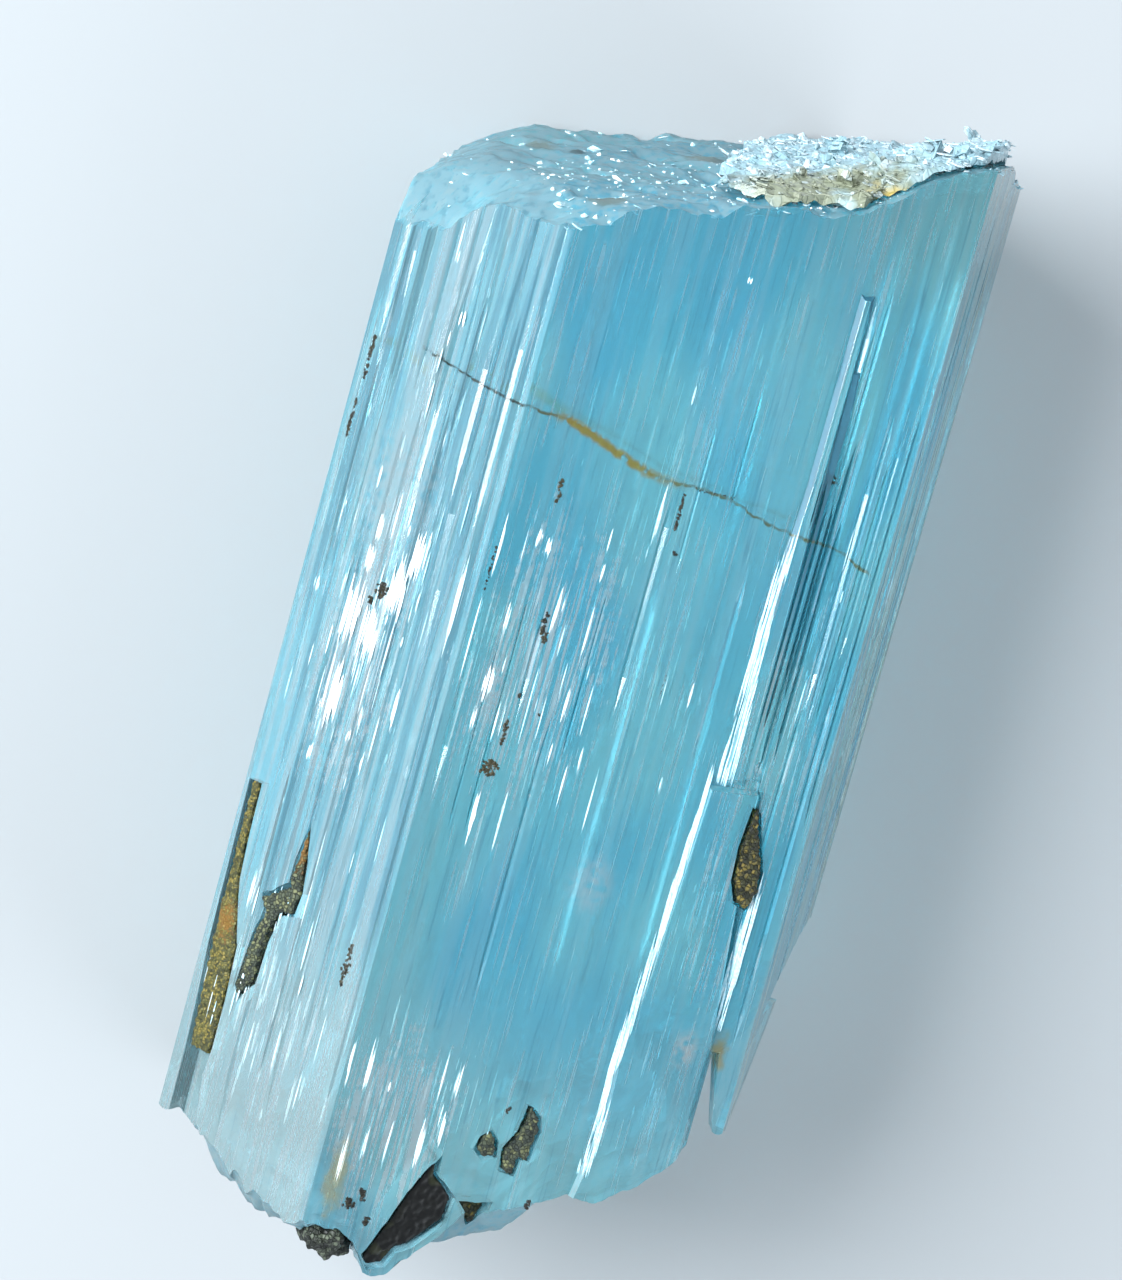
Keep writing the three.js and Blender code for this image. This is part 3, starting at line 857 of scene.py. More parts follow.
    def _patches(self) -> tuple[tuple[Triple, Triple, Colour], ...]:
        """The small coloured patches, each with its centre, its reach and its colour."""
        return (
            ((-8.0, 22.5, 6.2), (1.0, 1.5, 1.6), self.beige),
            ((-7.6, 21.6, 16.7), (1.1, 1.2, 0.9), self.beige),
            ((-0.1, 24.3, 7.0), (1.3, 1.5, 1.5), self.beige),
            ((-6.7, 23.0, 7.8), (0.5, 1.0, 0.4), self.soot),
            ((8.1, -15.3, 18.0), (0.55, 1.4, 1.2), self.stain),
            ((-8.4, -24.4, 18.5), (0.6, 2.2, 1.0), self.straw),
        )

    @staticmethod
    def _cover(
        nodes: Nodes, effects: Effects, prism: Prism, place: Socket, wobble: Socket, regions: Sequence[Region]
    ) -> Socket:
        """Masks all that lies in some regions.

        Args:
            nodes: the material's Nodes.
            effects: the shared effects.
            prism: the crystal's section.
            place: the object's own place.
            wobble: noise that makes the regions ragged.
            regions: the regions.

        Returns:
            The mask's socket.
        """
        mask = 0.0
        for region in regions:
            half = region.width / 2
            reach = (half, region.length / 2, half if region.face is not Face.FRONT else 4.0)
            centre = tuple(region.centre(prism))
            spot = nodes.group(effects.spot, Place=place, Centre=centre, Reach=reach, Wobble=wobble)
            mask = nodes.most(mask, nodes.times(spot.outputs[0], region.strength))
        return mask

    def _crack(
        self, nodes: Nodes, x: Socket, y: Socket, fine: Socket, clouds: Socket, colour: Socket
    ) -> Socket:
        """Draws the thin broken crack and its orange stain over a colour.

        Args:
            nodes: the material's Nodes.
            x: place across the crystal.
            y: place along it.
            fine: fine noise.
            clouds: wide noise.
            colour: the colour so far.

        Returns:
            The colour with the crack.
        """
        line = nodes.plus(y, nodes.times(x, self.crack_slope))
        wide = nodes.times(nodes.minus(clouds, 0.5), 1.6)
        wobble = nodes.plus(wide, nodes.times(nodes.minus(fine, 0.5), 0.35))
        off = nodes.math("ABSOLUTE", nodes.minus(nodes.plus(line, wobble), self.crack_height))
        crack = nodes.ease(off, 0.11, 0.03)
        reach = nodes.times(nodes.ease(x, -12.9, -12.4), nodes.ease(x, 9.0, 8.6))
        broken = nodes.plus(0.6, nodes.times(nodes.ease(fine, 0.4, 0.55), 0.4))
        tint = nodes.mix(nodes.ease(x, -9.6, -8.8), self.soot, self.rust)
        colour = nodes.mix(nodes.times(nodes.times(crack, reach), broken), colour, tint)
        halo = nodes.ease(off, 0.34, 0.08)
        warm = nodes.times(nodes.ease(x, -8.4, -7.0), nodes.ease(x, 0.0, -4.0))
        patch = nodes.times(nodes.ease(fine, 0.33, 0.45), warm)
        return nodes.mix(nodes.times(halo, patch), colour, self.stain)


@dataclass(frozen=True)
class Granular(Finish):
    """A grainy mineral of three colours.

    Attributes:
        dark: its joints and darkest grains.
        middle: most grains.
        light: its lightest grains.
        grain: size of a grain.
        relief: depth of the joints.
        rust: the colour of its rusty spots.
        rusty: where they are.
        reach: how far they reach.
    """

    dark: Colour = (0.03, 0.03, 0.02)
    middle: Colour = (0.16, 0.15, 0.04)
    light: Colour = (0.36, 0.32, 0.10)
    grain: float = 0.25
    relief: float = 0.06
    rust: Colour = (0.28, 0.13, 0.015)
    rusty: tuple[Triple, ...] = ()
    reach: Triple = (0.5, 0.9, 0.7)

    def build(self, effects: Effects) -> bpy.types.Material:
        """Builds the material from the shared grains, with rusty spots at the places given.

        Args:
            effects: the shared effects.

        Returns:
            The material.
        """
        material, nodes, shader = self.start()
        place = nodes.place()
        grains = nodes.group(effects.grains, Place=place, Size=self.grain)
        own = grains.outputs["Tone"]
        tone = nodes.plus(own, nodes.minus(nodes.noise(place, 0.6, 3.0), 0.5))
        colour = nodes.mix(nodes.ease(tone, 0.1, 0.6), self.dark, self.middle)
        colour = nodes.mix(nodes.ease(tone, 0.55, 0.95), colour, self.light)
        colour = nodes.mix(nodes.times(grains.outputs["Joint"], 0.6), colour, self.dark)
        for centre in self.rusty:
            spot = nodes.group(effects.spot, Place=place, Centre=centre, Reach=self.reach, Wobble=own)
            colour = nodes.mix(nodes.times(spot.outputs[0], 0.7), colour, self.rust)
        nodes.feed(shader.inputs["Base Color"], colour)
        shine = nodes.times(nodes.noise(place, 0.15, 2.0), 0.35)
        nodes.feed(shader.inputs["Roughness"], nodes.plus(self.roughness - 0.17, shine))
        self.bump(nodes, shader, grains.outputs["Height"], self.relief)
        return material


@dataclass(frozen=True)
class Mica(Finish):
    """Glassy white to grey scales, olive tan low in front, with a yellow and a bluish spot.

    Attributes:
        white: the lightest scales.
        grey: the darkest scales.
        tan: the lower front.
        yellow: the spot beside it.
        blue: the round spot.
    """

    white: Colour = (0.62, 0.76, 0.82)
    grey: Colour = (0.28, 0.46, 0.53)
    tan: Colour = (0.24, 0.24, 0.13)
    yellow: Colour = (0.58, 0.40, 0.06)
    blue: Colour = (0.50, 0.72, 0.80)

    def build(self, effects: Effects) -> bpy.types.Material:
        """Builds the material.

        Args:
            effects: the shared effects.

        Returns:
            The material.
        """
        material, nodes, shader = self.start()
        place = nodes.place()
        fine = nodes.noise(place, 0.7, 4.0)
        grains = nodes.group(effects.grains, Place=place, Size=0.4)
        tone = nodes.plus(nodes.times(nodes.mark("tone"), 0.7), nodes.minus(fine, 0.2))
        colour = nodes.mix(nodes.ease(tone, 0.2, 0.9), self.grey, self.white)
        spots = (
            ((2.6, 24.2, 17.4), (6.6, 4.0, 5.6), 0.85, self.tan),
            ((5.0, 24.2, 17.2), (1.3, 1.5, 1.7), 0.9, self.yellow),
            ((2.9, 23.8, 17.4), (0.9, 1.2, 1.2), 0.9, self.blue),
        )
        for centre, reach, strength, tint in spots:
            spot = nodes.group(effects.spot, Place=place, Centre=centre, Reach=reach, Wobble=fine)
            colour = nodes.mix(nodes.times(spot.outputs[0], strength), colour, tint)
        bright = nodes.times(nodes.ease(tone, 0.85, 1.0), 0.5)
        nodes.feed(shader.inputs["Base Color"], nodes.mix(bright, colour, self.white))
        shine = nodes.times(grains.outputs["Tone"], 0.4)
        nodes.feed(shader.inputs["Roughness"], nodes.plus(self.roughness - 0.2, shine))
        self.bump(nodes, shader, grains.outputs["Height"], 0.03)
        shader.inputs["Coat Weight"].default_value = 0.4
        shader.inputs["Coat Roughness"].default_value = 0.15
        return material


@dataclass(frozen=True)
class Toned(Finish):
    """A finish whose colour runs from one to another by each copy's tone.

    Attributes:
        low: the colour at tone 0.
        high: the colour at tone 1.
    """

    low: Colour = (0.0, 0.0, 0.0)
    high: Colour = (1.0, 1.0, 1.0)

    def build(self) -> bpy.types.Material:
        """Builds the material."""
        material, nodes, shader = self.start()
        place = nodes.place()
        tone = nodes.plus(nodes.mark("tone"), nodes.minus(nodes.noise(place, 0.15, 0.0), 0.5))
        nodes.feed(shader.inputs["Base Color"], nodes.mix(nodes.ease(tone, 0.0, 1.0), self.low, self.high))
        return material


@dataclass
class Crystal:
    """The beryl crystal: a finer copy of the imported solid.

    Attributes:
        node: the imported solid.
        cuts: how finely its ends are divided.
        etch: height of the etched relief on the termination.
        hackle: height of the relief on the broken base.
    """

    node: bpy.types.Object
    cuts: int = 3
    etch: float = 0.3
    hackle: float = 0.35

    @staticmethod
    def _on_top(centre: Vector, normal: Vector) -> bool:
        """Says whether a face belongs to the termination."""
        return centre.y > TERMINATION_FROM and normal.y > 0.2

    @staticmethod
    def _on_base(centre: Vector, normal: Vector) -> bool:
        """Says whether a face belongs to the broken base."""
        steep = centre.y > -26.0 and abs(normal.y) < 0.2
        return centre.y < BASE_TO and normal.y < -0.15 and not steep

    def build(self) -> bpy.types.Object:
        """Builds the crystal's mesh.

        Returns:
            The finished piece.
        """
        piece = copy_of(self.node, "beryl_crystal")
        mark(piece, "etched", self._on_top)
        mark(piece, "broken", self._on_base)
        for name, wanted in (("termination", self._on_top), ("base", self._on_base)):
            choose_faces(piece, wanted)
            group = piece.vertex_groups.new(name=name)
            with editing(piece):
                bpy.ops.mesh.subdivide(number_cuts=self.cuts, smoothness=0.0)
                bpy.ops.object.vertex_group_set_active(group=group.name)
                bpy.context.tool_settings.vertex_group_weight = 1.0
                bpy.ops.object.vertex_group_assign()
        displace(piece, Relief.CLOUDS, 1.1, self.etch, "Y", "termination")
        displace(piece, Relief.CELLS, 0.5, self.etch * 0.5, "Y", "termination")
        displace(piece, Relief.CLOUDS, 1.3, self.hackle, "Y", "base")
        displace(piece, Relief.CELLS, 0.7, self.hackle * 0.7, "Y", "base")
        smooth(piece, 28)
        self._flatten(piece)
        return piece

    @staticmethod
    def _flatten(piece: bpy.types.Object) -> None:
        """Shades the prism faces flat, and leaves the rough ends smooth."""
        rough = [piece.data.attributes[name].data for name in ("etched", "broken")]
        for polygon in piece.data.polygons:
            polygon.use_smooth = any(values[polygon.index].value > 0.5 for values in rough)


@dataclass
class Scales:
    """Small flakes and crumbs strewn over the upper faces of a piece.

    Attributes:
        count: how many there are.
        small: half width of the smallest.
        large: half width of the largest.
        lean: how far they lean, in radians.
        seed: picks their places.
    """

    count: int
    small: float
    large: float
    lean: float = 0.6
    seed: int = 7

    def strew(
        self, name: str, ground: bpy.types.Object, wanted: Callable[[Vector, Vector], float]
    ) -> bpy.types.Object:
        """Strews them.

        Args:
            name: the new piece's name.
            ground: the piece that carries them.
            wanted: says from a face's centre, in millimetres, and its normal how densely it is covered.

        Returns:
            The joined flakes and crumbs.
        """
        draw = random.Random(self.seed)
        shapes = [Shapes.flake(), Shapes.crumb(3), Shapes.flake(), Shapes.crumb(8)]
        faces = list(ground.data.polygons)
        weights = [face.area * wanted(face.center / MM, face.normal) for face in faces]
        places = []
        tones = []
        for index, face in enumerate(draw.choices(faces, weights=weights, k=self.count)):
            turn = Matrix.Rotation(draw.uniform(0, 2 * math.pi), 4, "Y")
            lean = Matrix.Rotation(draw.gauss(0, self.lean), 4, "X")
            lean = lean @ Matrix.Rotation(draw.gauss(0, self.lean), 4, "Z")
            lie = Matrix.Rotation(math.pi / 2, 4, "X")
            size = self.small + (self.large - self.small) * draw.random() ** 3
            size *= 1.0 if index % 2 == 0 else 0.55
            scale = Matrix.Diagonal((size * draw.uniform(0.6, 1.2), size, size * draw.uniform(0.5, 1.0), 1.0))
            slide = Vector((draw.uniform(-0.3, 0.3), 0.0, draw.uniform(-0.3, 0.3))) * MM
            at = Matrix.Translation(face.center + slide - face.normal * 0.2 * size * MM)
            places.append(at @ turn @ lean @ lie @ Matrix.Scale(MM, 4) @ scale)
            tones.append(draw.random())
        return scattered(name, shapes, places, tones)


@dataclass
class Crust:
    """The flaky crust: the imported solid's form with flakes and crumbs over it.

    Attributes:
        node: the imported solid.
        scales: its flakes and crumbs.
    """

    node: bpy.types.Object
    scales: Scales = field(default_factory=lambda: Scales(count=1500, small=0.12, large=0.6, lean=0.25))

    def ground(self) -> bpy.types.Object:
        """Builds the crust's own form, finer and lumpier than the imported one."""
        piece = copy_of(self.node, "mica_ground")
        choose_faces(piece, lambda centre, normal: normal.y > -0.3)
        with editing(piece):
            bpy.ops.mesh.subdivide(number_cuts=2, smoothness=0.0)
        displace(piece, Relief.CLOUDS, 1.5, 0.5, "Y")
        displace(piece, Relief.CELLS, 0.6, 0.35, "Y")
        return piece

    def build(self) -> bpy.types.Object:
        """Builds the whole crust as one piece.

        Returns:
            The finished piece.
        """
        ground = self.ground()
        cover = self.scales.strew("mica_flakes", ground, lambda centre, normal: float(normal.y > 0.1))
        ground.data.attributes.new("tone", "FLOAT", "POINT")
        deselect_all()
        ground.select_set(True)
        cover.select_set(True)
        bpy.context.view_layer.objects.active = ground
        bpy.ops.object.join()
        ground.name = "mica_crust_flakes"
        return ground


@dataclass
class Filling:
    """A mineral that fills a pocket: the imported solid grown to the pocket's walls and roughened.

    Attributes:
        node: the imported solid.
        name: the piece's name.
        grow: how far it is grown.
        cell: size of the cells that it is rebuilt from.
        grain: size of its grains.
        relief: height of its relief.
    """

    node: bpy.types.Object
    name: str
    grow: float = 0.13
    cell: float = 0.08
    grain: float = 0.25
    relief: float = 0.16

    def build(self) -> bpy.types.Object:
        """Builds the mineral's mesh.

        Returns:
            The finished piece.
        """
        piece = copy_of(self.node, self.name)
        modify(piece, "DISPLACE", strength=self.grow * MM, mid_level=0.0)
        modify(piece, "REMESH", mode="VOXEL", voxel_size=self.cell * MM)
        displace(piece, Relief.CELLS, self.grain, self.relief)
        displace(piece, Relief.CLOUDS, self.grain * 2, self.relief)
        smooth(piece, 40)
        return piece


@dataclass(frozen=True)
class Streak:
    """A bundle of white slivers along the crystal.

    Attributes:
        across: its place from the middle of the front face, or from the first edge of another face.
        low: its lower end.
        high: its upper end.
        width: its width.
        tone: how white it is, from 0 to 1.
    """

    across: float
    low: float
    high: float
    width: float
    tone: float = 0.8


FRONT_STREAKS = (
    Streak(-6.66, -8.2, -4.9, 0.24, 1.3), Streak(-7.1, 5.8, 7.0, 0.32, 1.2),
    Streak(-6.6, 5.4, 6.7, 0.32, 1.2), Streak(-7.7, 3.7, 7.0, 0.1), Streak(-8.8, 4.0, 7.2, 0.16),
    Streak(-7.55, 1.0, 3.5, 0.26), Streak(-9.0, -0.9, 3.4, 0.1), Streak(-7.62, -1.6, 0.4, 0.55, 1.1),
    Streak(-7.87, -3.0, -1.6, 0.25, 1.1), Streak(-5.43, 1.9, 4.6, 0.22, 1.1), Streak(-5.17, 2.8, 4.5, 0.1),
    Streak(-3.9, 6.2, 7.6, 0.18), Streak(-3.8, 4.9, 6.0, 0.2, 1.1), Streak(-3.7, 1.0, 4.6, 0.2),
    Streak(-3.77, -1.7, 0.3, 0.22, 1.1), Streak(-3.9, -3.8, -2.4, 0.12),
    Streak(-2.88, -5.8, -3.2, 0.22, 1.1), Streak(-2.4, -3.9, -2.2, 0.15), Streak(-1.38, -7.0, -3.1, 0.16),
    Streak(-5.5, -3.7, 1.1, 0.1, 0.5), Streak(-6.8, -3.6, -1.0, 0.12), Streak(-5.35, -8.9, -4.3, 0.1, 0.5),
    Streak(-1.87, 7.0, 10.1, 0.3, 0.6), Streak(1.92, 0.1, 1.8, 0.1), Streak(1.72, -4.0, -3.0, 0.16, 0.6),
    Streak(-9.18, -20.4, -17.4, 0.18, 1.1), Streak(-8.2, -20.5, -17.5, 0.34, 1.2),
    Streak(-8.34, -25.2, -21.4, 0.3, 1.0), Streak(-7.47, -24.0, -21.5, 0.2),
    Streak(-6.4, -23.8, -21.1, 0.22), Streak(-4.68, -20.4, -17.3, 0.2, 1.2),
    Streak(-3.93, -20.2, -17.8, 0.32, 1.2), Streak(-4.1, -22.3, -20.4, 0.36, 1.2),
    Streak(-4.9, -23.5, -20.6, 0.36, 0.9), Streak(-0.73, 19.6, 20.0, 0.25, 1.3),
)

LEFT_STREAKS = (
    Streak(4.0, 2.0, 3.6, 0.5, 1.0), Streak(7.88, -4.3, -2.0, 0.27, 1.1), Streak(4.1, 3.6, 5.2, 0.35, 0.9),
    Streak(5.57, -5.4, -4.7, 0.27), Streak(3.51, -7.0, -6.0, 0.4), Streak(1.17, 0.5, 1.4, 0.4, 0.6),
    Streak(9.8, -0.5, 5.0, 0.31, 0.6), Streak(5.64, 14.3, 15.1, 0.4, 1.2),
    Streak(3.75, -1.4, 2.1, 1.1, 1.25), Streak(6.9, 2.6, 5.2, 0.9, 1.05), Streak(6.1, 0.8, 3.6, 1.0, 1.05),
    Streak(5.1, -1.7, 1.0, 1.2, 1.15), Streak(3.9, -5.4, -1.8, 1.0, 1.25),
    Streak(2.3, -14.8, -12.6, 0.4, 1.2),
)


@dataclass(frozen=True)
class Cluster:
    """Loose slivers strewn about a place in a face.

    Attributes:
        region: where they lie.
        count: how many there are.
        tone: how white they are at most.
        depth: how deep they lie at most.
        width: how wide a sliver is at most.
    """

    region: Region
    count: int
    tone: float = 0.9
    depth: float = 0.5
    width: float = 0.11


CLUSTERS = (
    Cluster(Region(Face.FRONT, -6.8, 1.0, 2.2, 6.0), 70),
    Cluster(Region(Face.FRONT, -3.6, -0.5, 1.6, 6.0), 60),
    Cluster(Region(Face.FRONT, 0.0, 0.5, 2.0, 2.0), 24, 0.6),
    Cluster(Region(Face.FRONT, -6.3, -20.5, 3.4, 3.0), 55),
    Cluster(Region(Face.FRONT, 5.2, -10.0, 0.9, 4.0), 26, 0.7),
    Cluster(Region(Face.FRONT, 5.4, -18.0, 0.7, 3.0), 14, 0.6),
    Cluster(Region(Face.FRONT, -1.75, 14.0, 0.16, 5.0), 16, 0.5),
    Cluster(Region(Face.FRONT, 7.6, 4.0, 1.0, 7.0), 40, 0.6),
    Cluster(Region(Face.FRONT, -2.0, 8.0, 6.0, 9.0), 60, 0.4, 2.5),
    Cluster(Region(Face.LEFT, 4.8, -1.0, 3.0, 6.0), 170),
    Cluster(Region(Face.LEFT, 5.4, -18.0, 5.6, 7.0), 110, 0.8, 0.3, 0.16),
    Cluster(Region(Face.LEFT, 5.0, 13.0, 3.0, 6.0), 40, 0.6),
    Cluster(Region(Face.LEFT, 5.2, 2.0, 5.6, 11.0), 150, 0.6, 0.3, 0.14),
    Cluster(Region(Face.RIGHT, 5.0, 6.0, 3.0, 9.0), 40, 0.6, 1.5),
    Cluster(Region(Face.LOWER_LEFT, 5.0, -2.0, 3.0, 11.0), 50, 0.7),
    Cluster(Region(Face.BACK, 9.4, 0.0, 5.0, 11.0), 90, 0.6, 1.5),
    Cluster(Region(Face.LOWER_RIGHT, 5.0, 5.0, 3.0, 9.0), 40, 0.6),
)


@dataclass(frozen=True)
class Rib:
    """A pale line along the edge of a raised growth layer, partly a painted highlight on the layer's bright
    flank.

    Attributes:
        points: places along it, from the middle of the front face and along the crystal.
        width: its width at each end.
        tone: how white it is.
        height: how high the layer stands.
        flank: width of its sloping edge.
    """

    points: tuple[Pair, ...]
    width: Pair
    tone: float = 0.8
    height: float = 0.3
    flank: float = 0.22


RIBS = (
    Rib(((3.9, -3.0), (3.55, -11.8), (3.2, -16.5), (3.3, -20.0), (3.05, -22.0)), (0.12, 0.36), 0.45),
    Rib(((4.6, 8.5), (4.4, 5.5), (4.5, 1.0), (4.62, -2.6)), (0.3, 0.7), 0.5),
    Rib(((7.75, -7.5), (7.55, -14.0)), (0.5, 0.7), 0.5, 0.05),
)


@dataclass
class Tubes:
    """The white growth tubes and slivers along the crystal, with the ribs' pale lines that partly paint a
    highlight on the layers' flanks.

    Attributes:
        prism: the crystal's section.
        sliver: width of one sliver in a bundle.
        thickness: half of its thickness.
        rim: how far loose slivers stay from a face's edges.
        span: heights between which their middles lie.
        right_foot: height above which they lie on the slanted right faces.
        seed: picks their places.
    """

    prism: Prism
    sliver: float = 0.085
    thickness: float = 0.035
    rim: float = 0.2
    span: Pair = (-23.5, 19.0)
    right_foot: float = -7.5
    seed: int = 21

    def _lie(self, face: Face, streak: Streak, out: float) -> Matrix:
        """Places one sliver.

        Args:
            face: the face that it lies in.
            streak: its place and size.
            out: distance out from the face.

        Returns:
            The matrix that takes a sliver to its place.
        """
        half = (streak.high - streak.low) / 2
        across = streak.across + (self.prism.front / 2 if face is Face.FRONT else 0.0)
        at = self.prism.place(face, across, (streak.low + streak.high) / 2, out)
        size = Matrix.Diagonal((streak.width / 2 * MM, half * MM, self.thickness * MM, 1.0))
        return at @ size

    def _bundle(self, draw: random.Random, face: Face, streak: Streak) -> list[tuple[Matrix, float]]:
        """Makes a streak of several slivers with uneven ends.

        Args:
            draw: the source of random numbers.
            face: the face that it lies in.
            streak: the streak.

        Returns:
            Each sliver's matrix and tone.
        """
        count = max(2, round(streak.width / self.sliver * 2))
        length = streak.high - streak.low
        slivers = []
        for _ in range(count):
            share = draw.uniform(-0.5, 0.5)
            trim = 0.25 + 1.0 * share * share
            low = streak.low + length * draw.uniform(0.0, trim)
            high = streak.high - length * draw.uniform(0.0, trim)
            width = self.sliver * draw.uniform(0.6, 1.4)
            across = streak.across + share * max(0.0, streak.width - width)
            one = Streak(across, low, max(high, low + 0.3), width)
            place = self._lie(face, one, -draw.uniform(0.0, 0.04))
            slivers.append((place, streak.tone * draw.uniform(0.6, 1.0)))
        return slivers

    def _strewn(self, draw: random.Random, cluster: Cluster) -> list[tuple[Matrix, float]]:
        """Strews a cluster's slivers.

        Args:
            draw: the source of random numbers.
            cluster: the cluster.

        Returns:
            Each sliver's matrix and tone.
        """
        region = cluster.region
        slivers = []
        for _ in range(cluster.count):
            across = region.across + draw.gauss(0, region.width / 2)
            middle = region.along + draw.gauss(0, region.length / 2)
            half = draw.uniform(0.2, 1.3)
            edge = self.prism.side
            first = 0.0
            if region.face is Face.FRONT:
                edge = self.prism.front / 2
                first = -edge
            if region.face is Face.BACK:
                edge = self.prism.front
            if not first + self.rim < across < edge - self.rim:
                continue
            if not self.span[0] < middle < self.span[1]:
                continue
            if region.face in (Face.RIGHT, Face.LOWER_RIGHT) and middle < self.right_foot:
                continue
            one = Streak(across, middle - half, middle + half, draw.uniform(0.035, cluster.width))
            place = self._lie(region.face, one, -draw.uniform(0.0, cluster.depth))
            slivers.append((place, draw.uniform(0.2, cluster.tone)))
        return slivers

    def _rib(self, draw: random.Random, rib: Rib) -> list[tuple[Matrix, float]]:
        """Makes a rib's pale line of overlapping slivers on the layer's sloping edge, partly a painted
        highlight on that flank.

        Args:
            draw: the source of random numbers.
            rib: the rib.

        Returns:
            Each sliver's matrix and tone.
        """
        slivers = []
        total = rib.points[0][1] - rib.points[-1][1]
        for (start, high), (end, low) in zip(rib.points, rib.points[1:]):
            for _ in range(round((high - low) * 8)):
                share = draw.random()
                middle = high + share * (low - high)
                width = rib.width[0] + (rib.points[0][1] - middle) / total * (rib.width[1] - rib.width[0])
                offset = draw.uniform(-0.5, 0.5) * width
                half = min(draw.uniform(0.6, 1.8), middle - rib.points[-1][1] + 0.3)
                across = start + share * (end - start) + offset
                one = Streak(across, middle - half, middle + half, draw.uniform(0.05, 0.1))
                rise = min(1.0, max(0.0, 0.5 + offset / rib.flank))
                tone = rib.tone * draw.uniform(0.4, 1.0)
                slivers.append((self._lie(Face.FRONT, one, rib.height * rise - 0.01), tone))
        return slivers

    def build(self) -> bpy.types.Object:
        """Builds all tubes as one piece.

        Returns:
            The finished piece.
        """
        draw = random.Random(self.seed)
        slivers = []
        for face, streaks in ((Face.FRONT, FRONT_STREAKS), (Face.LEFT, LEFT_STREAKS)):
            for streak in streaks:
                slivers.extend(self._bundle(draw, face, streak))
        for cluster in CLUSTERS:
            slivers.extend(self._strewn(draw, cluster))
        for rib in RIBS:
            slivers.extend(self._rib(draw, rib))
        places, tones = zip(*slivers)
        return scattered("white_tubes", [Shapes.sliver()], places, tones)


@dataclass(frozen=True)
class Grain:
    """A small foreign grain, or a train of them, in a face.

    Attributes:
        face: the face that it lies in.
        across: its place, from the middle of the front face or from the left edge.
        low: its lower end.
        high: its upper end.
        width: its width.
        tone: its colour, from black at 0 to orange-brown at 1.
    """

    face: Face
    across: float
    low: float
    high: float
    width: float
    tone: float = 0.3


GRAINS = (
    Grain(Face.FRONT, -5.8, 2.2, 3.2, 0.22, 0.2), Grain(Face.FRONT, -5.65, 1.75, 2.25, 0.42, 0.5),
    Grain(Face.FRONT, -6.53, -4.7, -4.0, 0.75, 0.65), Grain(Face.FRONT, -6.02, -0.95, -0.7, 0.22, 0.0),
    Grain(Face.FRONT, -6.28, -3.2, -1.9, 0.2, 0.45), Grain(Face.FRONT, -8.97, 3.5, 5.6, 0.14, 0.05),
    Grain(Face.FRONT, -6.8, 8.1, 9.2, 0.22, 0.75), Grain(Face.FRONT, -1.0, 8.0, 9.8, 0.18, 0.3),
    Grain(Face.FRONT, -0.69, 6.95, 7.2, 0.2, 0.05), Grain(Face.FRONT, 5.61, 11.7, 12.2, 0.4, 0.4),
    Grain(Face.FRONT, -1.21, -20.0, -19.7, 0.2, 0.1), Grain(Face.FRONT, 3.24, -22.3, -21.9, 0.3, 0.15),
    Grain(Face.FRONT, -6.45, -26.4, -26.0, 0.3, 0.1), Grain(Face.FRONT, -7.5, -25.8, -25.3, 0.55, 0.1),
    Grain(Face.FRONT, -6.9, -25.3, -24.8, 0.35, 0.1), Grain(Face.FRONT, -7.0, -25.0, -24.7, 0.3, 0.1),
    Grain(Face.LEFT, 9.16, -15.9, -13.9, 0.3, 0.35), Grain(Face.LEFT, 5.2, 1.4, 2.1, 0.75, 0.25),
    Grain(Face.LEFT, 4.7, 1.0, 1.3, 0.3, 0.25), Grain(Face.LEFT, 0.68, 10.6, 12.6, 0.25, 0.25),
    Grain(Face.LEFT, 0.55, 7.8, 9.6, 0.2, 0.25), Grain(Face.FRONT, 1.0, -24.3, -23.9, 0.25, 0.1),
    Grain(Face.FRONT, -4.9, -1.6, -1.4, 0.1, 0.1), Grain(Face.FRONT, 0.5, 0.3, 1.6, 0.07, 0.2),
)

CRACK = (
    (Face.LEFT, 3.91, 12.97), (Face.LEFT, 5.17, 12.78), (Face.LEFT, 6.04, 12.36), (Face.LEFT, 7.81, 12.31),
    (Face.LEFT, 9.45, 12.19), (Face.FRONT, -8.68, 12.09), (Face.FRONT, -6.35, 11.38),
    (Face.FRONT, -4.59, 11.18), (Face.FRONT, -2.07, 10.63), (Face.FRONT, -0.44, 10.1),
    (Face.FRONT, 1.04, 10.15), (Face.FRONT, 3.4, 9.6), (Face.FRONT, 6.38, 8.74), (Face.FRONT, 8.91, 8.29),
)


